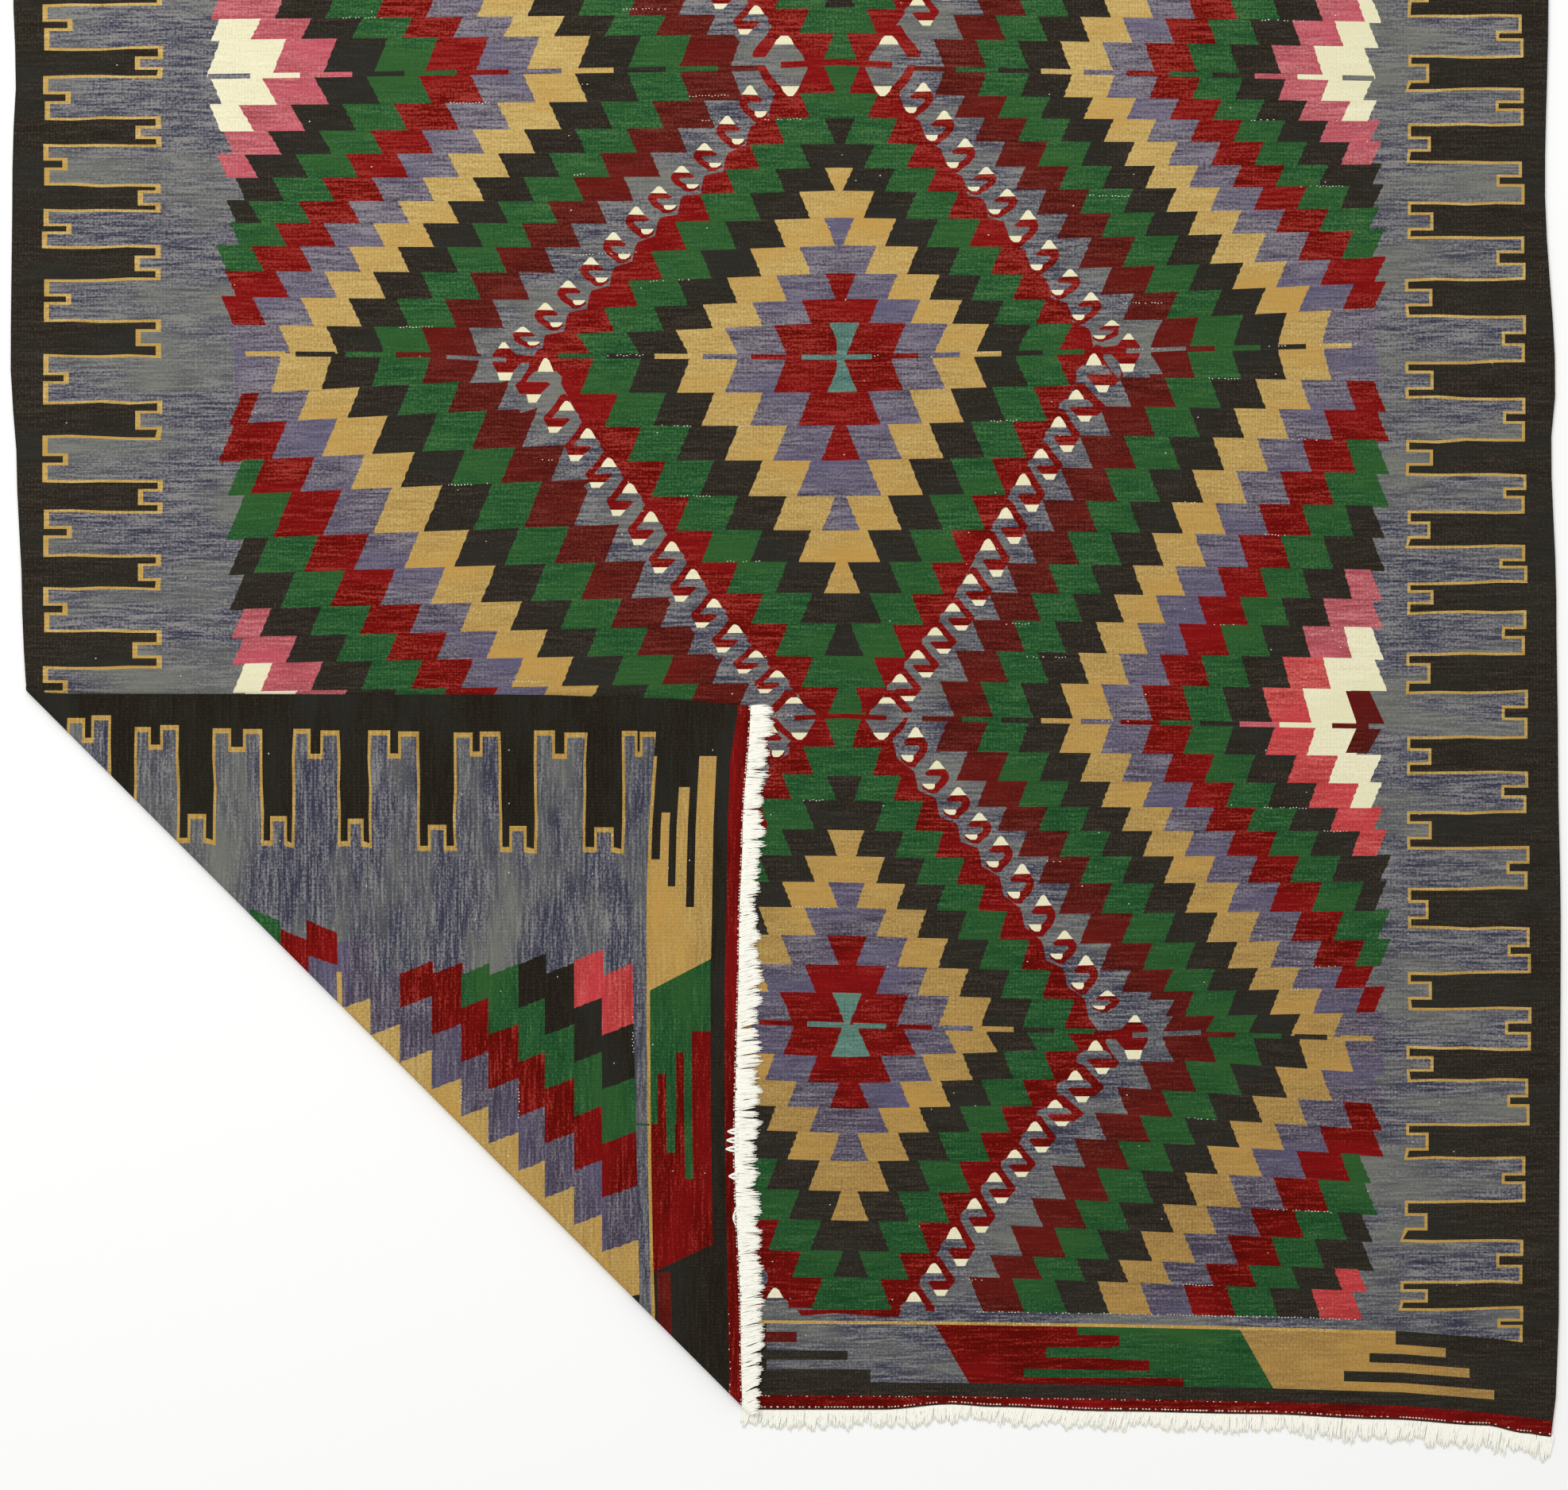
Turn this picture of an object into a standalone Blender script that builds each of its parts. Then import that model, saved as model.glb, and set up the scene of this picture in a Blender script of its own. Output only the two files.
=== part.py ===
"""A wool kilim lying flat with one corner folded over, and the warp fringes at its ends.

Units are metres and +Z is up. The cloth is laid out flat in (u, v) first: u runs across the rug from its middle
line to the right, and v runs along it from the near end to the far end. lay() then folds that sheet over.
"""

import math
import random

import bmesh
import bpy
from mathutils import Vector

MM = 0.001

# Cloth
THICKNESS = 2.5 * MM
LENGTH = 2340 * MM
EDGE_STEP = 46 * MM  # between two points of a selvedge

# Selvedges: (distance from the near end, distance out from the middle line), in mm
LEFT_SELVEDGE = (
    (-8, 849),
    (100, 858),
    (254, 862),
    (761, 863),
    (924, 870),
    (1075, 876),
    (1190, 883),
    (1428, 881),
    (1521, 877),
    (1609, 880),
    (1900, 876),
    (2150, 868),
    (2336, 859),
)
RIGHT_SELVEDGE = (
    (-30, 874),
    (-13, 879),
    (123, 883),
    (558, 885),
    (741, 882),
    (921, 880),
    (1101, 874),
    (1168, 879),
    (1400, 867),
    (1609, 871),
    (1900, 874),
    (2150, 868),
    (2343, 861),
)
# Ends: (distance across from the middle line, distance along past the nominal end), in mm
NEAR_END = (
    (-849, -8),
    (-701, 1),
    (-565, 8),
    (-347, 10),
    (-129, 3),
    (-22, 1),
    (114, 5),
    (196, 9),
    (373, 0),
    (539, -4),
    (705, -12),
    (874, -30),
)
FAR_END = (
    (-859, -4),
    (-640, 3),
    (-400, 0),
    (-120, 5),
    (160, 2),
    (430, -4),
    (660, -2),
    (861, 3),
)

# Fold: the corner where u + v is less than this lies turned over
FOLD_SUM = -43.5 * MM
BEND_RADIUS = 4.2 * MM  # of the middle of the cloth's thickness
BEND_STEPS = 12
LAYER_GAP = 0.6 * MM  # between the flap and the cloth under it
SETTLE_RUN = 42 * MM  # length over which the flap slopes down, and again over which it levels out
SETTLE_STEPS = 6

# Fringe
LOCK_PITCH = 11.8 * MM
LOCK_LENGTH = 25 * MM
LOCK_ROOT_WIDTH = 8.6 * MM
LOCK_TIP_WIDTH = 4.2 * MM
LOCK_HEIGHT = 1.8 * MM
LOCK_TIP_HEIGHT = 1.0 * MM
LOCK_STATIONS = (0.0, 0.55, 1.0)  # shares of a lock's length
STRIP_WIDTH = 2.0 * MM
PARTING = 0.4 * MM  # between the cloth's end and the strip
CORNER_CLEARANCE = 3.0 * MM  # between a selvedge and the strip's end
FOLD_CLEARANCE = 14 * MM  # of the strips from the fold, on both sides

WOOL = {"name": "wool_weave", "color": (0.23, 0.045, 0.04, 1.0), "roughness": 0.9}
COTTON = {"name": "cotton_warp", "color": (0.78, 0.74, 0.62, 1.0), "roughness": 0.85}


def clear_scene():
    for obj in list(bpy.data.objects):
        bpy.data.objects.remove(obj, do_unlink=True)


def table_value(table, at):
    """The table's second column at a value of its first, both in mm, eased between rows, in metres."""
    at = at / MM
    if at <= table[0][0]:
        return table[0][1] * MM
    for (start, low), (end, high) in zip(table, table[1:]):
        if at <= end:
            share = (at - start) / (end - start)
            eased = share * share * (3 - 2 * share)
            return (low + (high - low) * eased) * MM
    return table[-1][1] * MM


def steps_between(start, end, pitch):
    """Evenly spaced values from start to end, about pitch apart, with both ends."""
    count = max(1, round(abs(end - start) / pitch))
    return [start + (end - start) * i / count for i in range(count + 1)]


def end_points(table, nominal):
    """Points of one end of the cloth from left to right, one for each fringe lock's middle."""
    across = steps_between(table[0][0] * MM, table[-1][0] * MM, LOCK_PITCH)
    return [(u, nominal + table_value(table, u)) for u in across]


def selvedge_points(table, side, start, end):
    """Points of one selvedge between the two given corners, without them."""
    along = steps_between(start[1], end[1], EDGE_STEP)[1:-1]
    return [(side * table_value(table, v), v) for v in along]


def cloth_outline():
    """The cloth's outline laid flat, counterclockwise from its near left corner."""
    near = end_points(NEAR_END, 0.0)
    far = end_points(FAR_END, LENGTH)
    right = selvedge_points(RIGHT_SELVEDGE, 1, near[-1], far[-1])
    left = selvedge_points(LEFT_SELVEDGE, -1, near[0], far[0])
    return near + right + far[::-1] + left[::-1]


def past_fold(u, v):
    """How far a point of the flat cloth is past the fold line, measured square to it."""
    return (FOLD_SUM - u - v) / math.sqrt(2)


def fold_profile():
    """Rows of (past_fold, forward, height, turn) of the middle of the cloth's thickness.

    forward is measured square to the fold line like past_fold, and turn is how far the cloth has turned over.
    """
    drop = 2 * BEND_RADIUS - THICKNESS - LAYER_GAP
    tilt = math.asin(drop / (1.5 * SETTLE_RUN))
    rows = []
    forward = -(BEND_RADIUS + THICKNESS / 2)
    start = forward
    height = THICKNESS / 2
    for i in range(BEND_STEPS + 1):
        turn = (math.pi + tilt) * i / BEND_STEPS
        rows.append(
            (
                start + BEND_RADIUS * turn,
                forward + BEND_RADIUS * math.sin(turn),
                height + BEND_RADIUS * (1 - math.cos(turn)),
                turn,
            )
        )
    for i in range(SETTLE_STEPS + 1):
        turn = math.pi + tilt * (1 - i / SETTLE_STEPS)
        run = SETTLE_RUN if i == 0 else SETTLE_RUN / SETTLE_STEPS
        mean_turn = turn if i == 0 else turn + tilt / SETTLE_STEPS / 2
        at, ahead, up, _ = rows[-1]
        rows.append((at + run, ahead + run * math.cos(mean_turn), up + run * math.sin(mean_turn), turn))
    return rows


PROFILE = fold_profile()


def profile_point(row, offset):
    """Where a profile row puts a point at an offset above the cloth's underside: (forward, height)."""
    _, forward, height, turn = row
    out = offset - THICKNESS / 2
    return forward - out * math.sin(turn), height + out * math.cos(turn)


def lay(u, v, offset):
    """Where the point (u, v) of the flat cloth lies, at an offset above the cloth's underside."""
    past = past_fold(u, v)
    if past <= PROFILE[0][0]:
        return Vector((u, v, offset))
    if past >= PROFILE[-1][0]:
        forward, height = profile_point(PROFILE[-1], offset)
        forward -= past - PROFILE[-1][0]
    else:
        for low, high in zip(PROFILE, PROFILE[1:]):
            if past <= high[0]:
                break
        share = (past - low[0]) / (high[0] - low[0])
        start = profile_point(low, offset)
        end = profile_point(high, offset)
        forward = start[0] + (end[0] - start[0]) * share
        height = start[1] + (end[1] - start[1]) * share
    shift = (past - forward) / math.sqrt(2)
    return Vector((u + shift, v + shift, height))


def on_floor(u, v, offset):
    """Where a point lies whose piece isn't folded over."""
    return Vector((u, v, offset))


def cut_along_fold(flat):
    """Cuts a flat mesh on the lines where the fold's profile bends."""
    toward_flap = Vector((-1, -1, 0)).normalized()
    on_fold = Vector((FOLD_SUM / 2, FOLD_SUM / 2, 0))
    for past, *_ in PROFILE:
        bmesh.ops.bisect_plane(
            flat,
            geom=flat.verts[:] + flat.edges[:] + flat.faces[:],
            dist=1e-7,
            plane_co=on_fold + toward_flap * past,
            plane_no=toward_flap,
        )


def thicken(flat, name, material, place, on_face=False):
    """A closed solid from a flat mesh in (u, v) whose third coordinate is how thick the solid is there.

    place is lay or on_floor. The solid starts at the cloth's underside, or with on_face at its face.
    """
    solid = bmesh.new()
    bottom = {}
    top = {}
    for vert in flat.verts:
        u, v, thick = vert.co
        under = THICKNESS - thick if on_face else 0.0
        bottom[vert] = solid.verts.new(place(u, v, under))
        top[vert] = solid.verts.new(place(u, v, under + thick))
    for face in flat.faces:
        solid.faces.new([top[vert] for vert in face.verts])
        solid.faces.new([bottom[vert] for vert in reversed(face.verts)])
    for edge in flat.edges:
        if len(edge.link_loops) == 1:
            start = edge.link_loops[0].vert
            end = edge.other_vert(start)
            solid.faces.new((bottom[start], bottom[end], top[end], top[start]))
    mesh = bpy.data.meshes.new(name)
    solid.to_mesh(mesh)
    solid.free()
    flat.free()
    mesh.materials.append(material)
    obj = bpy.data.objects.new(name, mesh)
    bpy.context.collection.objects.link(obj)
    return obj


def build_body(material):
    flat = bmesh.new()
    flat.faces.new([flat.verts.new((u, v, THICKNESS)) for u, v in cloth_outline()])
    cut_along_fold(flat)
    return thicken(flat, "rug_body", material, lay)


def lock_shape(rng, root, previous_lean):
    """(lean, length) of a lock. Neighbours lean alike, so that no two of them meet."""
    lean = previous_lean * 0.6 + rng.uniform(-1.0, 1.0) * MM
    wave = math.sin(root[0] / MM / 37) + 0.6 * math.sin(root[0] / MM / 13 + 1)
    length = LOCK_LENGTH * (1 + 0.09 * wave + rng.uniform(-0.1, 0.1))
    return lean, length


def lock_pairs(flat, start, end, away, lean, length):
    """Left and right points of one lock between two points of the cloth's end, at each of its stations."""
    middle = (start[0] + end[0]) / 2
    slope = (end[1] - start[1]) / (end[0] - start[0])
    pairs = []
    for share in LOCK_STATIONS:
        half = (LOCK_ROOT_WIDTH + (LOCK_TIP_WIDTH - LOCK_ROOT_WIDTH) * share) / 2
        height = LOCK_HEIGHT + (LOCK_TIP_HEIGHT - LOCK_HEIGHT) * share
        reach = PARTING + STRIP_WIDTH + length * share
        pair = []
        for across in (middle - half, middle + half):
            level = start[1] + slope * (across - start[0])
            pair.append(flat.verts.new((across + lean * share * share, level + away * reach, height)))
        pairs.append(pair)
    return pairs


def build_fringe(name, points, away, material, seed, place):
    """A strip of twined warp ends along the points, with a lock between each two of them.

    away is -1 if the locks point toward the near end, and 1 if they point toward the far end.
    """
    on_flap = place is lay
    rng = random.Random(seed)
    flat = bmesh.new()
    turn = 1 if away < 0 else -1
    strip = []
    for u, v in points:
        inner = flat.verts.new((u, v + away * PARTING, LOCK_HEIGHT))
        outer = flat.verts.new((u, v + away * (PARTING + STRIP_WIDTH), LOCK_HEIGHT))
        strip.append((inner, outer))
    lean = 0.0
    for i, (start, end) in enumerate(zip(points, points[1:])):
        lean, length = lock_shape(rng, start, lean)
        pairs = lock_pairs(flat, start, end, away, lean, length)
        (inner, outer), (next_inner, next_outer) = strip[i], strip[i + 1]
        flat.faces.new([inner, outer, *pairs[0], next_outer, next_inner][::turn])
        for (left, right), (next_left, next_right) in zip(pairs, pairs[1:]):
            flat.faces.new([left, next_left, next_right, right][::turn])
    if on_flap:
        cut_along_fold(flat)
    return thicken(flat, name, material, place, on_face=on_flap)


def within(points, keep):
    return [point for point in points if keep(*point)]


def make_material(look):
    material = bpy.data.materials.new(look["name"])
    material.use_nodes = True
    material.diffuse_color = look["color"]
    shader = material.node_tree.nodes["Principled BSDF"]
    shader.inputs["Base Color"].default_value = look["color"]
    shader.inputs["Roughness"].default_value = look["roughness"]
    shader.inputs["Metallic"].default_value = 0.0
    return material


def centre(objects):
    """Moves the model so that the middle of its box is over the origin and its underside is at height 0."""
    corners = [vert.co for obj in objects for vert in obj.data.vertices]
    low = [min(co[axis] for co in corners) for axis in range(3)]
    high = [max(co[axis] for co in corners) for axis in range(3)]
    shift = Vector((-(low[0] + high[0]) / 2, -(low[1] + high[1]) / 2, -low[2]))
    for obj in objects:
        for vert in obj.data.vertices:
            vert.co += shift


def main():
    clear_scene()
    wool = make_material(WOOL)
    cotton = make_material(COTTON)
    near = end_points(NEAR_END, 0.0)
    far = end_points(FAR_END, LENGTH)
    left_limit = NEAR_END[0][0] * MM + CORNER_CLEARANCE
    right_limit = NEAR_END[-1][0] * MM - CORNER_CLEARANCE
    unfolded = within(near, lambda u, v: past_fold(u, v) < -FOLD_CLEARANCE and u < right_limit)
    turned_over = within(near, lambda u, v: past_fold(u, v) > FOLD_CLEARANCE and u > left_limit)
    objects = [
        build_body(wool),
        build_fringe("fringe_near", unfolded, -1, cotton, 3, on_floor),
        build_fringe("fringe_flap", turned_over, -1, cotton, 5, lay),
        build_fringe("fringe_far", far[1:-1], 1, cotton, 7, on_floor),
    ]
    centre(objects)


main()
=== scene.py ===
import math
import random
from collections import namedtuple

import bmesh
import bpy
import numpy as np
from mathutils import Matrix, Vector
from mathutils.geometry import delaunay_2d_cdt


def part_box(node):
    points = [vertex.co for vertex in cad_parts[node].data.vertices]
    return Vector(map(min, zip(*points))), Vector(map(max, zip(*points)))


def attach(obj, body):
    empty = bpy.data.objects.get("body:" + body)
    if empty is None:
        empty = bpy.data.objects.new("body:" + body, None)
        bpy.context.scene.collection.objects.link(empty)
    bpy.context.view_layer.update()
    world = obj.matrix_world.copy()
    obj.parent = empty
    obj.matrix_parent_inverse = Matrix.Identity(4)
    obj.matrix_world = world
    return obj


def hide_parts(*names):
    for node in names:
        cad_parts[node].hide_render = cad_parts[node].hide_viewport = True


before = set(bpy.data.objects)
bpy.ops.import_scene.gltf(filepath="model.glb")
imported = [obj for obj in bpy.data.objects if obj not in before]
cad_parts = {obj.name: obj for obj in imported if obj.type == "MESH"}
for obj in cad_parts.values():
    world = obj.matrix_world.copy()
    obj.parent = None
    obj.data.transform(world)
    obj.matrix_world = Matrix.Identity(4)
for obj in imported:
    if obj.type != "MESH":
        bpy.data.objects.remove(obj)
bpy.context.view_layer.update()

# A wool kilim lying flat with one corner folded over.
#
# The cloth is first laid out flat in (u, v), in metres: u runs across the rug from its middle line to the
# right, and v runs along it from the near end to the far end. lay() folds that sheet as the CAD solid is.
#
# The weave is charted flat, in chart units: x runs to the right and y toward the near end. The chart is a
# list of (yarn, points), each laid over those before it.

MM = 0.001

# ---- Cloth, as in the CAD source ----

THICKNESS = 2.5 * MM
LENGTH = 2340 * MM
EDGE_STEP = 46 * MM  # between two points of a selvedge
LOCK_PITCH = 11.8 * MM  # between two points of an end

# Selvedges: (distance from the near end, distance out from the middle line), in mm
LEFT_SELVEDGE = (
    (-8, 849), (100, 858), (254, 862), (761, 863), (924, 870), (1075, 876), (1190, 883), (1428, 881),
    (1521, 877), (1609, 880), (1900, 876), (2150, 868), (2336, 859),
)
RIGHT_SELVEDGE = (
    (-30, 874), (-13, 879), (123, 883), (558, 885), (741, 882), (921, 880), (1101, 874), (1168, 879),
    (1400, 867), (1609, 871), (1900, 874), (2150, 868), (2343, 861),
)
# Ends: (distance across from the middle line, distance along past the nominal end), in mm
NEAR_END = (
    (-849, -8), (-701, 1), (-590, 5), (-347, 10), (-129, 3), (-22, 1), (112, 1), (188, 7), (240, 4),
    (373, -1), (539, -4), (686, -10), (799, -17), (845, -26), (874, -30),
)
FAR_END = (
    (-859, -4), (-640, 3), (-400, 0), (-120, 5), (160, 2), (430, -4), (660, -2), (861, 3),
)

# Fold: the corner where u + v is less than this lies turned over
FOLD_SUM = -43.5 * MM
BEND_RADIUS = 4.2 * MM
BEND_STEPS = 12
LAYER_GAP = 0.6 * MM  # between the flap and the cloth under it
SETTLE_RUN = 42 * MM  # length over which the flap slopes down, and again over which it levels out
SETTLE_STEPS = 6

# ---- Chart ----

CHART_UNIT = 0.906 * MM
CHART_MIDDLE = 988  # x of the rug's middle line
CHART_NEAR = 1776  # y of the near end
CHART_FAR = CHART_NEAR - LENGTH / CHART_UNIT
# x and y between which the ground is laid, past the cloth on all sides
CHART_SIDES = (-120, 2100)
CHART_ENDS = (-900, 1850)
LEFT = -1
RIGHT = 1

# Levels of the field. left and right are their y at REACH from the axis.
REACH = 640
LEVEL_ROUNDS = 3  # in which a line's crossing with a level is closed in on
Level = namedtuple("Level", "left middle right axis")
LEVELS = {
    "far end": Level(-655, -664, -668, 1050),
    "far medallion": Level(-310, -305, -300, 1052),
    "far crossing": Level(93, 83, 97, 1055),
    "middle medallion": Level(445, 449, 434, 1055),
    "near crossing": Level(890, 902, 913, 1059),
    "near medallion": Level(1266, 1290, 1306, 1067),
    "near end": Level(1634, 1648, 1669, 1071),
}
# Bands beside each other, from a medallion's level to the next level, row by row. first is the distance from
# the axis at which they start in the first row, width and width_end how wide a unit of them is at the two
# levels, step and step_end how far each row moves toward the axis, tilt and tilt_end how much lower a row
# lies at REACH than at the axis, and rows the heights of the rows.
Bands = namedtuple("Bands", "first width width_end step step_end tilt tilt_end rows")
# Running hooks: x and y of the nail nearest to the medallion, how far each hook moves toward the axis, how
# far a hook's lower part leans across over a unit of height, how many are wide, and the heights between them
Hooks = namedtuple("Hooks", "x y step lean wide rows")
# A quarter of the field around a medallion, from its level to another one
Quarter = namedtuple("Quarter", "medallion other side inner hooks outer")
FAR_CROSSING_ROWS = (35, 36, 35, 36, 34, 35, 35, 36, 32, 31, 41)
FAR_END_ROWS = (35, 36, 36, 37, 36, 36, 36, 36, 35, 36)
MIDDLE_FAR_ROWS = (43, 30, 32, 35, 35, 34, 29, 30, 32, 31, 35)
MIDDLE_NEAR_ROWS = (45, 42, 44, 45, 43, 40, 39, 38, 41, 38, 38)
NEAR_FAR_ROWS = (40, 35, 37, 35, 32, 33, 33, 37, 31, 35, 40)
NEAR_END_ROWS = (41, 33, 32, 31, 35, 38, 37, 38, 33, 40)
FAR_END_HOOKS = (37, 35, 33, 34, 32, 34, 36, 38, 36)
NEAR_FAR_HOOKS = (39, 33, 42, 40, 36, 31, 32, 33, 40)
NEAR_END_HOOKS = (37, 35, 29, 34, 30, 34, 38, 43, 36)
QUARTERS = (
    Quarter(
        "far medallion", "far end", LEFT,
        Bands(-4, 28.5, 28.0, 28.5, 28.0, 0, 9, FAR_END_ROWS),
        Hooks(711, -343, 28.0, -0.1, 0, FAR_END_HOOKS),
        Bands(430, 29.0, 29.0, 29.0, 28.5, 0, 9, FAR_END_ROWS),
    ),
    Quarter(
        "far medallion", "far end", RIGHT,
        Bands(0, 25.6, 25.2, 26.0, 25.5, 0, -4, FAR_END_ROWS),
        Hooks(1374, -343, 25.4, -0.1, 0, FAR_END_HOOKS),
        Bands(392, 27.5, 26.5, 27.0, 26.5, 0, -4, FAR_END_ROWS),
    ),
    Quarter(
        "far medallion", "far crossing", LEFT,
        Bands(-10, 30.0, 31.0, 31.0, 31.0, -5, 8, FAR_CROSSING_ROWS),
        Hooks(673, -275, 31.0, 0.3, 2, (33, 33, 32, 33, 32, 33, 32, 33, 32)),
        Bands(448, 31.0, 32.0, 33.0, 32.6, -5, 8, (36, 36, 37, 36, 35, 36, 36, 35, 35, 25, 41)),
    ),
    Quarter(
        "far medallion", "far crossing", RIGHT,
        Bands(0, 26.0, 26.0, 27.5, 25.0, 5, 12, FAR_CROSSING_ROWS),
        Hooks(1380, -283, 25.0, 0.15, 2, (32, 32, 33, 32, 32, 32, 33, 32, 32)),
        Bands(380, 27.5, 26.5, 27.0, 25.0, 5, 12, (35, 36, 36, 37, 36, 35, 36, 36, 34, 31, 36)),
    ),
    Quarter(
        "middle medallion", "far crossing", LEFT,
        Bands(-14, 30.9, 31.5, 30.3, 32.4, 33, 8, MIDDLE_FAR_ROWS),
        Hooks(658, 418, 28.6, -0.1, 0, (28, 28, 29, 31, 32, 27, 26, 28, 33, 37)),
        Bands(452, 29.6, 32.9, 31.5, 34.9, -9, 8, (31, 37, 35, 33, 31, 29, 31, 31, 31, 35, 38)),
    ),
    Quarter(
        "middle medallion", "far crossing", RIGHT,
        Bands(3, 26.1, 26.6, 30.0, 23.8, 6, 17, MIDDLE_FAR_ROWS),
        Hooks(1400, 410, 26.4, 0.0, 0, (32, 30, 35, 37, 29, 28, 34, 35, 35)),
        Bands(386, 27.8, 26.9, 28.3, 24.5, -37, 14, (26, 37, 37, 41, 33, 33, 31, 33, 31, 29, 33)),
    ),
    Quarter(
        "middle medallion", "near crossing", LEFT,
        Bands(-12, 30.3, 30.8, 29.6, 32.2, 3, -12, MIDDLE_NEAR_ROWS),
        Hooks(687, 468, 26.5, 0.35, 1, (49, 35, 36, 33, 36, 37, 35, 36, 32, 31, 25)),
        Bands(448, 31.5, 31.6, 35.2, 31.4, 36, 8, (5, 40, 50, 46, 60, 48, 48, 38, 36, 38, 47)),
    ),
    Quarter(
        "middle medallion", "near crossing", RIGHT,
        Bands(-1, 26.1, 26.1, 27.9, 23.3, -25, 10, MIDDLE_NEAR_ROWS),
        Hooks(1377, 460, 22.2, 0.15, 2, (43, 35, 39, 34, 42, 40, 42, 35, 30, 29, 30)),
        Bands(380, 28.7, 25.0, 26.5, 20.0, 10, 13, (20, 37, 37, 41, 41, 39, 41, 37, 35, 39, 39, 46)),
    ),
    Quarter(
        "near medallion", "near crossing", LEFT,
        Bands(-5, 29.6, 27.9, 29.8, 26.7, -7, -7, NEAR_FAR_ROWS),
        Hooks(708, 1248, 29.0, -0.25, 0, NEAR_FAR_HOOKS),
        Bands(348, 34.2, 29.0, 33.5, 28.0, -22, -12, NEAR_FAR_ROWS),
    ),
    Quarter(
        "near medallion", "near crossing", RIGHT,
        Bands(-4, 26.3, 23.9, 24.4, 23.1, 23, 11, NEAR_FAR_ROWS),
        Hooks(1394, 1254, 26.8, -0.25, 0, NEAR_FAR_HOOKS),
        Bands(396, 26.9, 25.8, 25.7, 24.8, -14, 9, (1, 33, 29, 35, 39, 39, 35, 33, 31, 33, 37, 41)),
    ),
    Quarter(
        "near medallion", "near end", LEFT,
        Bands(-2, 26.9, 26.0, 26.9, 26.0, -29, -11, NEAR_END_ROWS),
        Hooks(740, 1318, 26.2, 0.1, 3, NEAR_END_HOOKS),
        Bands(362, 34.2, 34.0, 33.5, 33.5, 0, 0, (15, 37, 40, 37, 34, 38, 33, 37, 35, 39)),
    ),
    Quarter(
        "near medallion", "near end", RIGHT,
        Bands(5, 25.7, 25.2, 28.3, 23.7, -27, 19, NEAR_END_ROWS),
        Hooks(1379, 1323, 25.4, 0.06, 3, NEAR_END_HOOKS),
        Bands(394, 28.8, 26.7, 28.4, 26.0, 45, 20, (16, 41, 35, 35, 37, 43, 37, 39, 29, 44)),
    ),
)
LEAN = 0.40  # how far a band's edge leans outward over one unit of height
LEAST_ROW = 32  # height by which the edges lean in a first row that the tilt makes taller than its table says
# Bands outward from a medallion's axis: (yarn, outer limit in units)
INNER_START = 0.0
INNER_BANDS = (
    ("teal", 0.25), ("red", 2.5), ("violet", 4.5), ("gold", 6.5), ("black", 8.5), ("green", 10.5),
)
OUTER_START = 15.2
OUTER_BANDS = (
    ("maroon", 17.2), ("green", 19.2), ("black", 21.2), ("gold", 23.2), ("violet", 25.2), ("red", 27.2),
    ("green", 29.2), ("black", 31.2), ("pink", 33.2), ("ivory", 35.6),
)
# Where the field ends at the sides: (y, x) at the middles of its rows
FIELD_LEFT = (
    (-660, 290), (-20, 280), (20, 268), (52, 274), (82, 266), (112, 272), (142, 266), (172, 292),
    (204, 276), (236, 304), (265, 291), (294, 297), (326, 279), (356, 291), (390, 286), (430, 290),
    (500, 300), (545, 284), (590, 296), (902, 302), (1180, 314), (1209, 340), (1243, 327), (1285, 345),
    (1322, 388), (1361, 380), (1471, 383), (1506, 369), (1541, 382), (1577, 364), (1614, 383),
)
FIELD_RIGHT = (
    (-660, 1735), (-20, 1735), (17, 1731), (55, 1728), (85, 1723), (115, 1722), (140, 1727), (164, 1730),
    (190, 1732), (221, 1733), (250, 1735), (278, 1729), (309, 1735), (342, 1737), (376, 1737), (414, 1735),
    (460, 1735), (499, 1737), (537, 1741), (618, 1740), (657, 1735), (694, 1735), (730, 1732), (810, 1734),
    (850, 1738), (902, 1735), (967, 1731), (1030, 1734), (1093, 1744), (1128, 1738), (1166, 1742),
    (1204, 1744), (1235, 1720), (1266, 1741), (1330, 1740), (1398, 1732), (1436, 1735), (1470, 1718),
    (1504, 1726), (1541, 1720), (1578, 1722), (1612, 1715), (1643, 1710),
)
CORAL_FROM = {LEFT: 1000, RIGHT: 790}  # y from which a side's pink is dyed coral
SLIVER = 18  # a band narrower than this isn't begun beside the field's end, nor half of it at the axis
OVERLAP = 1.5  # how far a row reaches under the next one
LEAST_WIDTH = 0.5  # of a piece of a band that is laid

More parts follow.
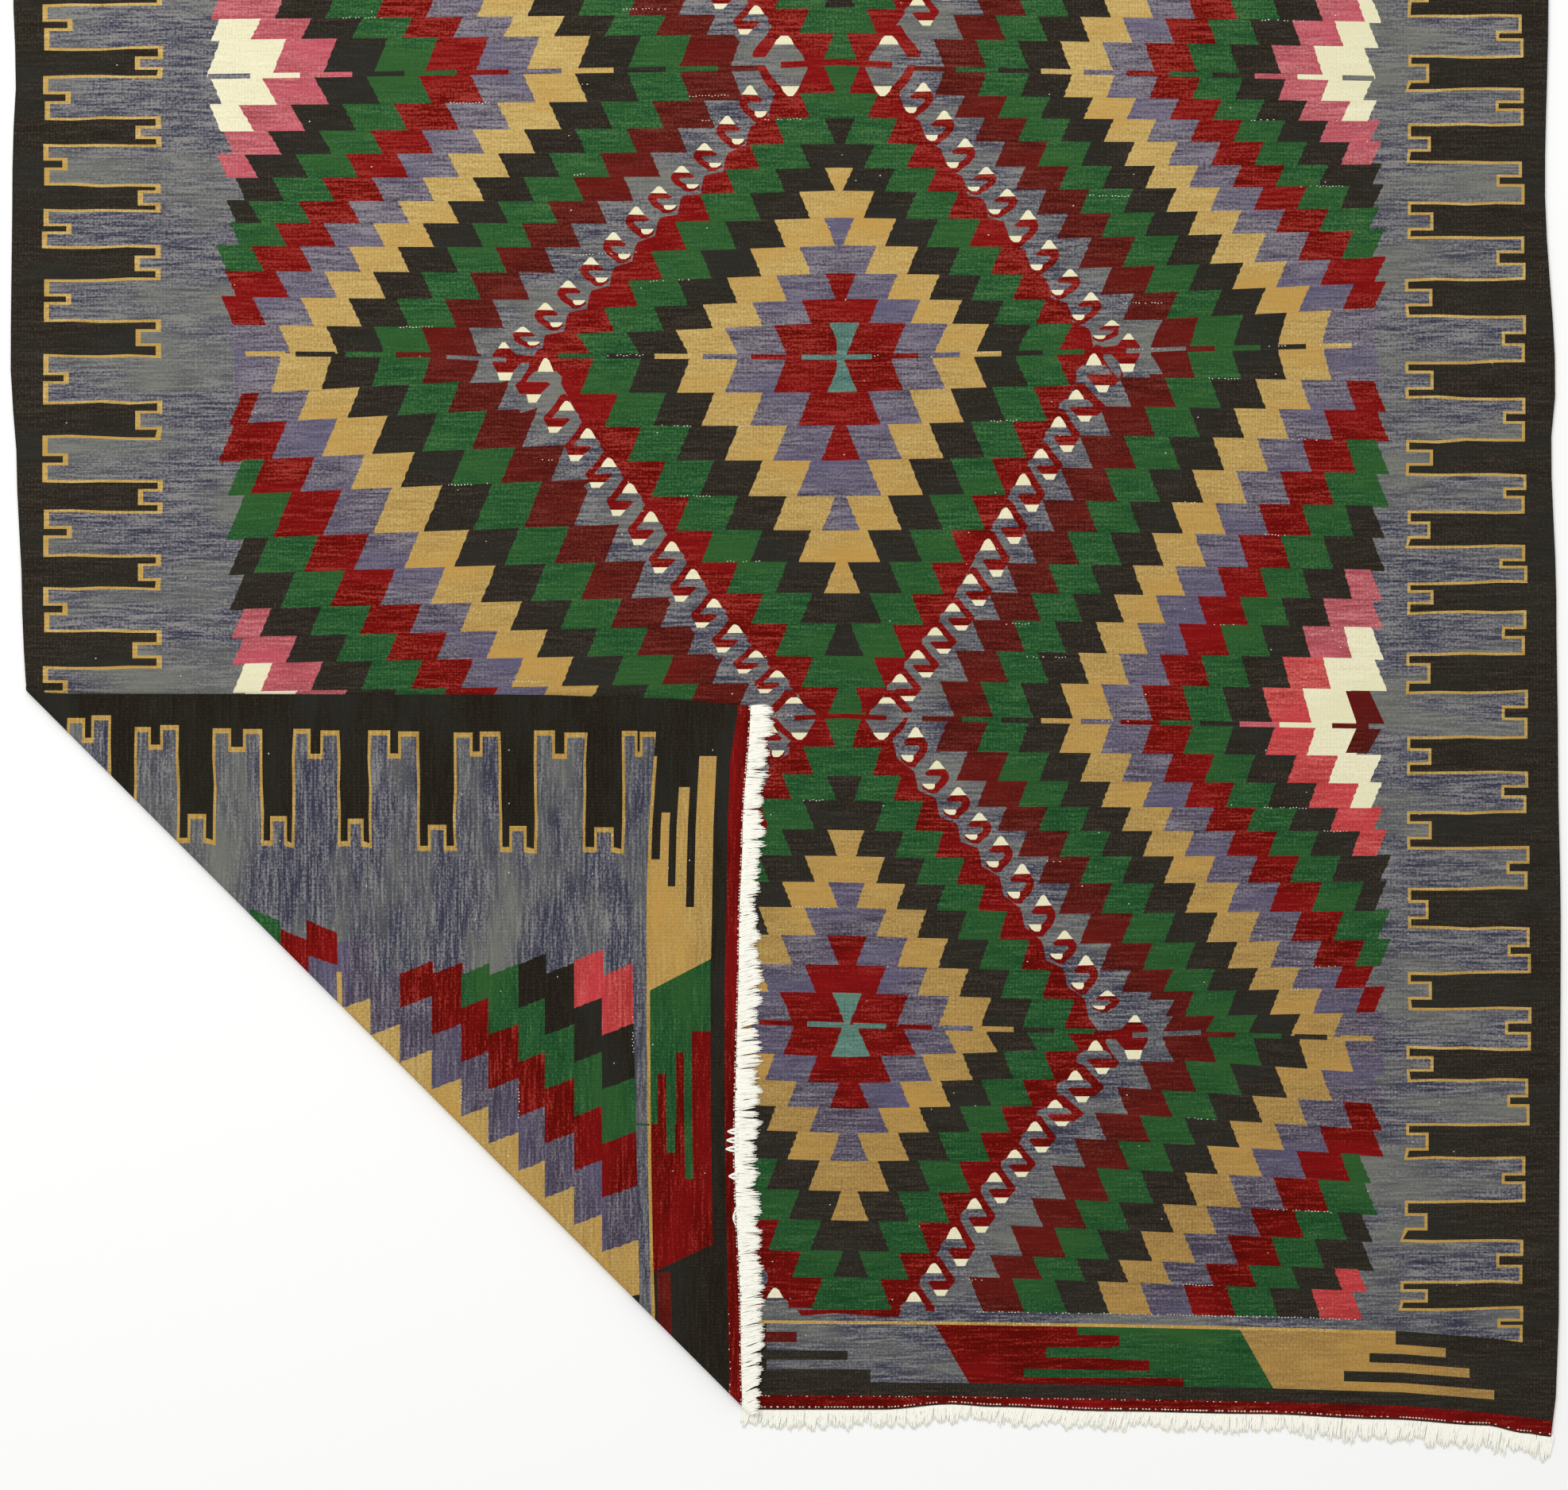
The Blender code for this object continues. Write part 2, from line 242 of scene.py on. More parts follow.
# Running hooks, from the middle of a nail's base: (yarn, *points). Across is outward in a quarter that runs
# toward the near end, and toward the axis in one that runs toward the far end.
HOOK_PITCH = 36  # between two hooks of the size given here
LAST_HOOK = 0.6  # size of the hook beside a medallion's tip in a quarter that runs toward the far end
WIDE_HOOK = 1.35  # width of the hooks beside a medallion's tip in a quarter that runs toward the near end
NAIL = ((-10, 0), (-8, -4), (-4.5, -10), (-1, -12.5), (2, -12.5), (5, -9), (8.5, -4), (10, 0))
FAR_NAIL = ((-10.5, 0), (-6.5, -4.5), (-3, -10), (0, -11.5), (3, -10), (6, -5.5), (10.5, 0.5))
NEAR_HOOK_LINE = ((-18, 13),)
NEAR_HOOK = (
    (
        "slate", (-10, -0.5), (10, -0.5), (14, 5), (15, 9.5), (-5, 9.5), (-8, 11.5), (-4, 18), (-2, 21),
        (17, 21), (22, 26), (10, 38), (-2, 34), (-7, 30), (-12, 23), (-18, 16), (-18, 11), (-17, 5),
        (-13, 2),
    ),
    (
        "red", (-4, -15), (2, -22), (8, -20), (16, -7), (22, 1), (26, 7), (25.5, 11), (20, 17), (17, 21),
        (-2, 21), (-4, 18), (-8.5, 11.5), (-5, 9.5), (15, 9.5), (14, 5), (10, -0.5), (0, -0.5),
    ),
    ("ivory", (-2, 21), (17, 21), (14, 25), (12, 28.5), (2, 28.5), (0, 25)),
    ("ivory", *NAIL),
)
FAR_HOOK_LINE = ((28, 4), (23.5, 27))
FAR_HOOK = (
    (
        "red", (10, 1), (-10, 0), (-13, 7), (-12, 13), (-7, 20), (-3, 24), (3, 28), (9, 34), (17, 34),
        (25, 27), (24, 20), (7, 20.5), (1, 16), (-2, 12), (-1, 9.5), (15, 9.5), (17, 6), (12, 3),
    ),
    (
        "slate", (12, 3), (17, 6), (15, 9.5), (-1, 9.5), (-2, 12), (1, 16), (7, 20.5), (24, 20.5), (26, 14),
        (29, 9), (30, 5), (27, 0), (20, -6), (14, -7), (10, 1),
    ),
    ("ivory", (24, 20.5), (8, 20.5), (9, 25), (12, 28), (18, 28), (22, 25)),
    ("ivory", *FAR_NAIL),
)
LAST_FOOT = ((-10, 0), (10, 0), (22, 27), (-26, 27))  # below the last nail before the near end


def between(low, high, share):
    """The value a share of the way from low to high."""
    return low + (high - low) * share


def row_value(table, at, column=1):
    """A column of a table at a value of its first column, straight between rows."""
    if at <= table[0][0]:
        return table[0][column]
    for row, after in zip(table, table[1:]):
        if at <= after[0]:
            return between(row[column], after[column], (at - row[0]) / (after[0] - row[0]))
    return table[-1][column]


def level_y(level, x):
    """y of a level at x."""
    side = level.left if x < level.axis else level.right
    return between(level.middle, side, abs(x - level.axis) / REACH)


def on_level(level, start, through):
    """Where the straight line from start through another point reaches a level."""
    slope = (through[0] - start[0]) / (through[1] - start[1])
    x = through[0]
    for _ in range(LEVEL_ROUNDS):
        x = through[0] + (level_y(level, x) - through[1]) * slope
    return x, level_y(level, x)


class BandLattice:
    """Bands of a quarter, by row n, share f of a row and distance out from the axis.

    Rows are counted, and shares measured, from the medallion's level.
    """

    def __init__(self, quarter, bands, start):
        self.near = LEVELS[quarter.medallion]
        self.far = LEVELS[quarter.other]
        self.side = quarter.side
        self.bands = bands
        self.start = start
        self.toward = 1 if self.far.middle > self.near.middle else -1
        self.rows = len(bands.rows)
        self.marks = [sum(bands.rows[:n]) for n in range(self.rows + 1)]

    def share(self, n, f):
        """Share of the way from the medallion's level to the other one."""
        return (self.marks[n] + f * self.bands.rows[n]) / self.marks[-1]

    def mark_y(self, n, x):
        """y of the start of row n at x."""
        if n == 0:
            return level_y(self.near, x)
        if n == self.rows:
            return level_y(self.far, x)
        tilt = between(self.bands.tilt, self.bands.tilt_end, self.marks[n] / self.marks[-1])
        y = self.near.middle + self.toward * self.marks[n] + tilt * abs(x - self.near.axis) / REACH
        low, high = sorted((level_y(self.near, x), level_y(self.far, x)))
        return min(max(y, low), high)

    def point(self, out, n, f):
        x = between(self.near.axis, self.far.axis, self.share(n, f)) + self.side * out
        return x, between(self.mark_y(n, x), self.mark_y(n + 1, x), f)

    def out(self, limit, n, f):
        """Distance of a band's limit from the axis."""
        width = between(self.bands.width, self.bands.width_end, self.share(n, f))
        gain = (self.bands.step_end - self.bands.step) / 2 / (self.rows - 1)
        moved = n * (self.bands.step + gain * n)
        lean = LEAN * max(self.bands.rows[n], LEAST_ROW) * f
        return self.bands.first + width * (limit - self.start) - moved + lean

    def field_limit(self, n, f):
        """Distance from the axis where the field ends."""
        _, y = self.point(REACH, n, 0.5)
        axis, _ = self.point(0, n, f)
        table = FIELD_LEFT if self.side == LEFT else FIELD_RIGHT
        return abs(row_value(table, y) - axis) + LEAN * self.bands.rows[n] * (f - 0.5)


def lattices(quarter):
    """A quarter's inner and outer bands."""
    inner = BandLattice(quarter, quarter.inner, INNER_START)
    return inner, BandLattice(quarter, quarter.outer, OUTER_START)


SLANT_STEPS = 8  # pieces of a slanted edge across a row
TOOTH = 0.55  # how far every other one of its points stands out
EDGE_WANDER = 0.7  # how far else its points lie off it


def jitter(seed, size):
    """A value within +-size that depends on seed alone."""
    large = math.sin(seed * 12.9898) * 43758.5453  # its digits past the point look random
    return (2 * (large - math.floor(large)) - 1) * size


def slanted_edge(lattice, limit, n):
    """Points of a band's limit across row n, cut at the axis and where the field ends.

    limit is the band's limit in units, or None for the axis.
    """
    first = limit is None or lattice.out(limit, n, 1) < SLIVER / 2
    last = not first and lattice.field_limit(n, 0.5) - lattice.out(limit, n, 0.5) < SLIVER
    points = []
    for i in range(SLANT_STEPS + 1):
        f = i / SLANT_STEPS
        if last:
            out = lattice.field_limit(n, f)
        elif first:
            out = -OVERLAP
        else:
            out = max(-OVERLAP, lattice.out(limit, n, f))
        if 0 < i < SLANT_STEPS and out > 0:
            # the factors only keep the edges and rows from wandering alike
            seed = lattice.near.middle if last else lattice.side * limit * 7.1 + lattice.near.middle
            out += jitter(seed + n * 3.7 + i * 1.3, EDGE_WANDER)
            out += TOOTH if i % 2 else -TOOTH
        points.append(lattice.point(out, n, f))
    return points


def lay_cell(chart, yarn, inner, outer, toward):
    """Lays one row's piece of a band over the chart. toward is 1 if the rows run toward the near end."""
    widths = [abs(b[0] - a[0]) for a, b in zip(inner, outer)]
    if max(widths) < LEAST_WIDTH:
        return
    (xa, ya), (xb, yb) = inner[-1], outer[-1]
    past = [(xb, yb + toward * OVERLAP), (xa, ya + toward * OVERLAP)]
    chart.append((yarn, inner[:1] + outer + past + inner[:0:-1]))


def lay_bands(chart, lattice, bands):
    """Lays all rows of the bands, (yarn, outer limit), from the axis or from where they start."""
    start = None if lattice.start == INNER_START else lattice.start
    for n in range(lattice.rows):
        inner = slanted_edge(lattice, start, n)
        for yarn, limit in bands:
            outer = slanted_edge(lattice, limit, n)
            if yarn == "pink" and outer[0][1] > CORAL_FROM[lattice.side]:
                yarn = "coral"
            lay_cell(chart, yarn, inner, outer, lattice.toward)
            inner = outer


def hook_feet(hooks, side, toward):
    """Middles of the nails' bases, from the medallion's level on."""
    feet = [(hooks.x, hooks.y)]
    for height in hooks.rows:
        x, y = feet[-1]
        feet.append((x - side * hooks.step, y + toward * height))
    return feet


def hook_sizes(hooks, toward):
    """How tall each hook is: it reaches down to the one below it."""
    usual = [height / HOOK_PITCH for height in hooks.rows]
    return usual + usual[-1:] if toward > 0 else [LAST_HOOK] + usual


def lay_hook_ground(chart, lattice, feet):
    """Red between the axis and the line along the hooks."""
    start, end, side = lattice.near, lattice.far, lattice.side
    corners = NEAR_HOOK_LINE if lattice.toward > 0 else FAR_HOOK_LINE[::-1]
    line = [(x + side * lattice.toward * across, y + down) for x, y in feet for across, down in corners]
    first = on_level(start, line[2], line[0])
    last = on_level(end, line[-3], line[-1])
    axis = [(end.axis - side * OVERLAP, end.middle), (start.axis - side * OVERLAP, start.middle)]
    chart.append(("red", [first] + line + [last] + axis))


def lay_shape(chart, yarn, shape, x, y, across=1.0, tall=1.0, lean=0.0):
    """Lays the shape about (x, y), scaled across and along. What lies below y leans across by lean."""
    chart.append((yarn, [(x + across * (p + lean * max(q, 0)), y + tall * q) for p, q in shape]))


def lay_hooks(chart, quarter, feet, toward):
    """The running hooks from the far end on, each over the one before it."""
    hooks = quarter.hooks
    rows = list(enumerate(zip(feet, hook_sizes(hooks, toward))))
    for i, ((x, y), tall) in rows[::toward]:
        wide = WIDE_HOOK if i < hooks.wide else 1.0
        for yarn, *shape in NEAR_HOOK if toward > 0 else FAR_HOOK:
            across = quarter.side * toward * (1.0 if yarn == "ivory" else wide)
            lay_shape(chart, yarn, shape, x, y, across, tall, hooks.lean)


def lay_field(chart):
    for quarter in QUARTERS:
        inner, outer = lattices(quarter)
        feet = hook_feet(quarter.hooks, quarter.side, inner.toward)
        lay_bands(chart, outer, OUTER_BANDS)
        lay_hook_ground(chart, inner, feet)
        lay_bands(chart, inner, INNER_BANDS)
        lay_hooks(chart, quarter, feet, inner.toward)
        if quarter.other == "near end":
            lay_shape(chart, "slate", LAST_FOOT, *feet[-1], quarter.side)


# Crossings of the hook borders: parts of one, (yarn, *points), from its middle, outward from the axis
CROSSING_ARMS = (
    (
        "red", (0, -50), (19, -50), (27, -36), (33, -30), (38, -24), (43, -17), (44, -12), (42, -10),
        (27, -10), (0, -28), (-36, -8), (-36, -36), (0, -36),
    ),
    ("red", (38, 0), (34, 11), (30, 19), (25, 26), (19, 32), (12, 38), (0, 42), (0, 20), (12, 0)),
    ("slate", (48, -10), (20, -10), (20, 0), (48, 0)),
)
CROSSING_BODY = (
    (
        "slate", (16.5, -26), (-8.5, -26), (-13.5, -19.5), (-19, -13.5), (-21.5, -7), (-21, 0), (-26, 3),
        (-24.5, 7), (-21, 14), (-15.5, 26.5), (8, 26.5), (11.5, 23.5), (17.5, 17), (23, 9), (28, 0),
        (28, -10), (21.5, -19),
    ),
    ("ivory", (16.5, -26), (14, -31), (8, -37), (-1, -37), (-5, -33), (-8.5, -26)),
    ("ivory", (8, 26.5), (5, 33), (-1, 39), (-7, 39), (-12, 33), (-15.5, 26.5)),
)
# x of the left and right middles, their y, the size across of the body and of the arms, the size along, how
# thick the bar between the two is and how far it runs into them
Crossing = namedtuple("Crossing", "left right y across arms along bar reach")
CROSSINGS = (
    Crossing(991, 1115, 82, 1.0, 1.0, 1.0, 8, 8),
    Crossing(1003, 1113, 904, 0.9, 0.8, 0.7, 6, 3),
)
CROSSING_RISE = 4  # how much higher the bar lies at the axis
# Tips of the medallions: parts of one, (yarn, *points), from its middle, outward from the axis
TIP_PARTS = (
    (
        "slate", (44, -41), (35, -25), (29, -8), (29, 3), (36, 13), (44, 27), (4, 27), (-12, 21),
        (-12, -30), (-6, -41),
    ),
    (
        "red", (8, -17), (-7, -17), (-14, -9), (-45, -6), (-45, 1), (-21, 2), (-10, 14), (9, 14), (15, 3),
        (15, -9),
    ),
    ("slate", (-5, -27), (-16, -18), (-30, -15), (-29, -7), (-15, -9), (-7, -17)),
    ("slate", (-22, 2), (-31, 2), (-31, 7), (-21, 23), (-10, 33), (-9, 25), (-13, 15)),
    ("ivory", (8, -16.5), (3, -24), (-1, -24), (-7, -16.5)),
    ("ivory", (9, 14), (-11, 14), (-7, 24), (6, 24)),
    ("slate", (-2, -5), (73, -8), (73, -3), (-2, 1)),
)
Tip = namedtuple("Tip", "side x y size")
TIPS = (
    Tip(LEFT, 637, -302, 1.0),
    Tip(RIGHT, 1420, -306, 1.0),
    Tip(LEFT, 635, 455, 1.0),
    Tip(RIGHT, 1420, 444, 1.0),
    Tip(RIGHT, 1428, 1306, 1.15),
)


def lay_bar(chart, yarn, start, end, thick):
    (xa, ya), (xb, yb) = start, end
    half = thick / 2
    chart.append((yarn, [(xa, ya - half), (xb, yb - half), (xb, yb + half), (xa, ya + half)]))


def lay_crossing(chart, crossing):
    for side, x in ((LEFT, crossing.left), (RIGHT, crossing.right)):
        for parts, across in ((CROSSING_ARMS, crossing.arms), (CROSSING_BODY, crossing.across)):
            for yarn, *shape in parts:
                lay_shape(chart, yarn, shape, x, crossing.y, side * across, crossing.along)
    left, right = crossing.left - crossing.reach, crossing.right + crossing.reach
    middle = ((left + right) / 2, crossing.y - CROSSING_RISE * crossing.along)
    lay_bar(chart, "red", (left, crossing.y), middle, crossing.bar)
    lay_bar(chart, "red", middle, (right, crossing.y), crossing.bar)


def lay_tip(chart, tip):
    for yarn, *shape in TIP_PARTS:
        lay_shape(chart, yarn, shape, tip.x, tip.y, tip.side * tip.size, tip.size)


# Needles: thin bars at the levels, where a band's yarn runs on into its neighbour
NEEDLE_LENGTHS = {LEFT: 50, RIGHT: 41}
NEEDLE_THICK = 6.5
NEEDLE_DROP = 1  # below its level
NEEDLE_BACK = 4  # how far inside its own band one starts at a medallion
NEEDLE_OVERLAP = 8  # how far one reaches into its own band at a crossing
OUTER_NEEDLES = 4  # on each side of a medallion, outside the hooks
# Bars beside the field's ends: (yarn, level, x where it starts, x where it ends)
SIDE_NEEDLES = (
    ("slate", "far crossing", 1690, 1730),
    ("slate", "far crossing", 262, 315),
    ("wine", "near crossing", 1677, 1722),
    ("slate", "near crossing", 1723, 1743),
)


def lay_needle(chart, yarn, level, start, end):
    """A thin bar along a level between two values of x."""
    points = [(x, level_y(level, x) + NEEDLE_DROP) for x in (start, end)]
    lay_bar(chart, yarn, *points, NEEDLE_THICK)


def lay_medallion_needles(chart, quarter):
    inner, outer = lattices(quarter)
    for lattice, bands in ((inner, INNER_BANDS), (outer, OUTER_BANDS[:OUTER_NEEDLES])):
        for yarn, limit in bands:
            out = max(lattice.out(limit, 0, 0), 0) - NEEDLE_BACK
            start = lattice.near.axis + quarter.side * out
            lay_needle(chart, yarn, lattice.near, start, start + quarter.side * NEEDLE_LENGTHS[quarter.side])


def lay_crossing_needles(chart, quarter):
    _, outer = lattices(quarter)
    limits = [OUTER_START] + [limit for _, limit in OUTER_BANDS]
    for (yarn, _), limit in zip(OUTER_BANDS, limits):
        end = outer.far.axis + quarter.side * outer.out(limit, outer.rows - 1, 1)
        start = end - quarter.side * NEEDLE_LENGTHS[quarter.side]
        lay_needle(chart, yarn, outer.far, start, end + quarter.side * NEEDLE_OVERLAP)


def lay_needles(chart):
    for quarter in QUARTERS:
        if LEVELS[quarter.other].middle > LEVELS[quarter.medallion].middle:
            lay_medallion_needles(chart, quarter)
    for quarter in QUARTERS:
        if quarter.medallion == "middle medallion":
            lay_crossing_needles(chart, quarter)
    for yarn, name, start, end in SIDE_NEEDLES:
        lay_needle(chart, yarn, LEVELS[name], start, end)


# The wine tip at the right of the near crossing
WINE_TIP = ((1694, 870), (1724, 870), (1743, 911), (1722, 948), (1694, 948), (1708, 916), (1707, 908))


# Combs along the selvedges: y of the top and bottom of each slate finger
LEFT_FINGERS = (
    (-770, -718), (-672, -622), (-578, -528), (-480, -432), (-384, -335), (-288, -240), (-190, -140),
    (-93, -42), (8, 59), (99, 147), (185, 231), (267, 309), (354, 402), (450, 505), (553, 604), (646, 698),
    (743, 793), (842, 892), (928, 975), (1011, 1061), (1110, 1166), (1210, 1263), (1306, 1363),
    (1413, 1466), (1514, 1573), (1624, 1662),
)
RIGHT_FINGERS = (
    (-765, -715), (-672, -624), (-575, -527), (-480, -430), (-384, -335), (-285, -238), (-190, -142),
    (-90, -42), (22, 69), (115, 155), (206, 254), (301, 350), (400, 454), (503, 553), (600, 643),
    (690, 732), (773, 822), (873, 927), (975, 1021), (1069, 1117), (1170, 1223), (1272, 1318), (1362, 1414),
    (1460, 1511), (1564, 1613), (1649, 1686),
)
# Comb by y: (y, x where the black fingers end, x where the slate fingers end)
LEFT_COMB = ((-800, 205, 60), (860, 203, 62), (1011, 222, 82), (1200, 229, 88), (1665, 240, 91))
RIGHT_COMB = (
    (-800, 1772, 1908), (850, 1770, 1918), (1300, 1772, 1924), (1500, 1768, 1916), (1649, 1759, 1912),
)
NOTCH = 27  # depth of the notch in a finger's end
SLATE_NOTCH = (0.32, 0.64)  # shares of a slate finger between which it is notched
BLACK_NOTCH = (0.36, 0.66)  # and of a black one
COMB_PAST = (60, 30)  # how far the comb's edge runs past its first and last finger
PAST_SELVEDGE = 1100  # from the middle line to beyond the selvedge
OUTLINE_TALL = 3.4  # thickness of the comb's outline where it runs across
OUTLINE_WIDE = {LEFT: 6.5, RIGHT: 3.8}  # and where it runs along
# How far the fingers' ends, the heights of an edge's ends, the depths of the notches and their shares differ
END_WANDER = 2
SLOPE_WANDER = 1.5
NOTCH_WANDER = 4
SHARE_WANDER = 0.04
LONG_RUN = 60  # a straight run of the comb's edge longer than this waves a little
RUN_PIECES = 4
RUN_WAVE = 1.5


def waved(path):
    """The path with points added along its long runs, each a little up or down."""
    points = [path[0]]
    for i, (start, end) in enumerate(zip(path, path[1:])):
        if abs(end[0] - start[0]) > LONG_RUN:
            for k in range(1, RUN_PIECES):
                x, y = (between(a, b, k / RUN_PIECES) for a, b in zip(start, end))
                points.append((x, y + jitter(i + k * 5.3, RUN_WAVE)))
        points.append(end)
    return points


def wander(rng, size):
    """Two values within +-size."""
    return [rng.uniform(-size, size) for _ in range(2)]


def notch_marks(top, bottom, shares, rng):
    """Where a notch between top and bottom starts and ends."""
    return [between(top, bottom, share + off) for share, off in zip(shares, wander(rng, SHARE_WANDER))]


def comb_edge(side, fingers, comb, inset, rng):
    """The comb's edge from its far to its near end, moved in toward the selvedge by the inset's (x, y)."""
    across = side * inset[0]
    down = inset[1]
    path = []
    for i, (top, bottom) in enumerate(fingers):
        black_end = row_value(comb, top, 1) + across
        slate_end = row_value(comb, top, 2) + across
        starts = [black_end + off for off in wander(rng, END_WANDER)]
        ends = [slate_end + off for off in wander(rng, END_WANDER)]
        slopes = wander(rng, SLOPE_WANDER)
        notch = notch_marks(top, bottom, SLATE_NOTCH, rng)
        floor = slate_end - side * (NOTCH + rng.uniform(-NOTCH_WANDER, NOTCH_WANDER))
        path += [(starts[0], top - down + slopes[0]), (ends[0], top - down - slopes[0])]
        path += [(ends[0], notch[0] + down), (floor, notch[0] + down)]
        path += [(floor, notch[1] - down), (ends[1], notch[1] - down)]
        path += [(ends[1], bottom + down + slopes[1]), (starts[1], bottom + down - slopes[1])]
        if i + 1 < len(fingers):
            slot = notch_marks(bottom, fingers[i + 1][0], BLACK_NOTCH, rng)
            depth = black_end + side * (NOTCH + rng.uniform(-NOTCH_WANDER, NOTCH_WANDER))
            path += [(starts[1], slot[0] - down), (depth, slot[0] - down)]
            path += [(depth, slot[1] + down), (starts[1], slot[1] + down)]
    first = (path[0][0], path[0][1] - COMB_PAST[0])
    last = (path[-1][0], path[-1][1] + COMB_PAST[1])
    return waved([first] + path + [last])


def lay_combs(chart):
    for side, fingers, comb in ((LEFT, LEFT_FINGERS, LEFT_COMB), (RIGHT, RIGHT_FINGERS, RIGHT_COMB)):
        selvedge = CHART_MIDDLE + side * PAST_SELVEDGE
        for yarn, inset in (("amber", (0, 0)), ("black", (OUTLINE_WIDE[side], OUTLINE_TALL))):
            path = comb_edge(side, fingers, comb, inset, random.Random(31 + side))
            chart.append((yarn, path + [(selvedge, path[-1][1]), (selvedge, path[0][1])]))


# Bands of the near end: (x, how far they lie below a level band there at the line, and at the cord)
END_SAG = (
    (60, 4, 12), (117, -1, 2), (203, -7, -1), (300, -10, -2), (403, -10, -5), (574, -9, -5), (746, -6, -2),
    (900, 0, 0), (1200, 2, 2), (1400, 5, 5), (1600, 9, 9), (1766, 14, 14), (1880, 23, 23), (1960, 34, 34),
)
# y of their edges where the end is level, from the field to the very end
BAND_SLATE = 1649
BAND_LINE = 1662
BAND_PANEL = 1666
BAND_PLAIN = 1739
BAND_RED = 1756
BAND_CORD = 1774
BAND_PAST = 60  # how far the lowest bands are laid past the cord
END_WEFT = 1.9  # thickness of the dark weft along the end
PAST_END = 5  # how far it is laid past the end
# A thread that lies across the bands
GREEN_THREAD = ((575.5, 1631), (578, 1631), (579, 1656), (576.5, 1656))
# Red under the last medallion's tip
END_RED = ((1003, 1649), (1135, 1649), (1131, 1658), (1112, 1658), (1053, 1653.5), (1009, 1656.5))
PANEL_LEFT = 114
LINE_RIGHT = 1757  # where the line along the panel's top ends
# Blocks of the panel: (yarn, x of its right side at the top, and at the bottom)
PANEL_BLOCKS = (
    ("gold", 409, 369), ("green", 577, 577), ("red", 763, 728), ("black", 965, 965), ("slate", 1177, 1220),
    ("red", 1400, 1400), ("green", 1561, 1603), ("gold", 1881, 1881),
)
# Fingers that run from one block into another: yarn, x of the roots, and each one's x of the tip and shares
# of the panel's height
PANEL_FINGERS = (
    (
        "black", 90, (185, 0.00, 0.40), (244, 0.00, 0.14), (153, 0.40, 0.71), (278, 0.28, 0.40),
        (304, 0.58, 0.71),
    ),
    ("green", 560, (613, 0.26, 0.40), (646, 0.56, 0.69)),
    ("red", 600, (514, 0.12, 0.26), (487, 0.43, 0.56), (460, 0.69, 1.00)),
    ("maroon", 763, (945, 0.05, 0.28)),
    ("maroon", 955, (1003, 0.14, 0.32)),
    ("black", 955, (1067, 0.46, 0.62), (1096, 0.78, 1.00)),
    ("red", 1380, (1409, 0.14, 0.33), (1447, 0.56, 0.74), (1490, 0.86, 1.00)),
    ("green", 1420, (1356, 0.00, 0.14), (1317, 0.36, 0.54), (1289, 0.74, 0.88)),
    (
        "black", 1920, (1757, 0.00, 0.18), (1820, 0.18, 0.34), (1724, 0.34, 0.50), (1850, 0.50, 0.66),
        (1692, 0.66, 0.84),
    ),
)


def band_y(base, x):
    """y at x of a band's edge that is at base where the end is level."""
    line = row_value(END_SAG, x, 1)
    cord = row_value(END_SAG, x, 2)
    return base + between(line, cord, (base - BAND_LINE) / (BAND_CORD - BAND_LINE))


def band_points(base, start, end):
    """Points along a band's edge from x start to x end."""
    marks = [x for x, *_ in END_SAG if start < x < end]
    return [(x, band_y(base, x)) for x in [start] + marks + [end]]


def lay_band(chart, yarn, top, bottom, start=CHART_SIDES[0], end=CHART_SIDES[1]):
    chart.append((yarn, band_points(top, start, end) + band_points(bottom, start, end)[::-1]))


def near_end_points(inside):
    """Points along the cloth's near end, some way inside it."""
    line = end_points(NEAR_END, 0.0)
    return [(CHART_MIDDLE + u / CHART_UNIT, CHART_NEAR - v / CHART_UNIT - inside) for u, v in line]


def lay_panel(chart):
    top, bottom = PANEL_LEFT, PANEL_LEFT
    for yarn, next_top, next_bottom in PANEL_BLOCKS:
        upper = band_points(BAND_PANEL, top, next_top)
        lower = band_points(BAND_PLAIN, bottom, next_bottom)
        chart.append((yarn, upper + lower[::-1]))
        top, bottom = next_top, next_bottom
    for yarn, root, *fingers in PANEL_FINGERS:
        for tip, *shares in fingers:
            edges = [between(BAND_PANEL, BAND_PLAIN, share) for share in shares]
            lay_band(chart, yarn, *edges, *sorted((root, tip)))


def lay_end_bands(chart):
    """The bands of the near end, with a dark weft along the cloth's very end."""
    lay_band(chart, "slate", BAND_SLATE, BAND_LINE, LEFT_COMB[-1][1], RIGHT_COMB[-1][1])
    chart.append(("red", END_RED))
    lay_band(chart, "black", BAND_LINE, BAND_CORD + BAND_PAST)
    lay_band(chart, "amber", BAND_LINE, BAND_PANEL, PANEL_LEFT, LINE_RIGHT)
    lay_panel(chart)
    lay_band(chart, "red", BAND_RED, BAND_CORD + BAND_PAST)
    chart.append(("black", near_end_points(END_WEFT) + near_end_points(-PAST_END)[::-1]))
    chart.append(("green", GREEN_THREAD))


SPECK_PITCH = 4.0  # between the warps that show through the weave
SPECK_TRIES = 3  # stretches of a row's start that may show them
SPECK_ROWS = 0.14  # share of those that do
SPECK_RUNS = (12, 60)  # lengths of such a stretch
SPECK_GAPS = (0.1, 0.5)  # share of the warps in it that don't show
SPECK_SINGLES = 300
INNER_SPECKS = (10, 400)  # distances from the axis at which a stretch starts
OUTER_SPECKS = (400, 610)
SINGLES_ACROSS = (60, 1910)
SINGLES_ALONG = (-700, 1745)
SPECK_WIDE = (0.7, 1.3)  # half a speck's width
SPECK_TALL = (0.5, 0.9)  # half its height
ROW_WANDER = 0.8  # how far a row's specks lie off it
BAND_WANDER = 0.6
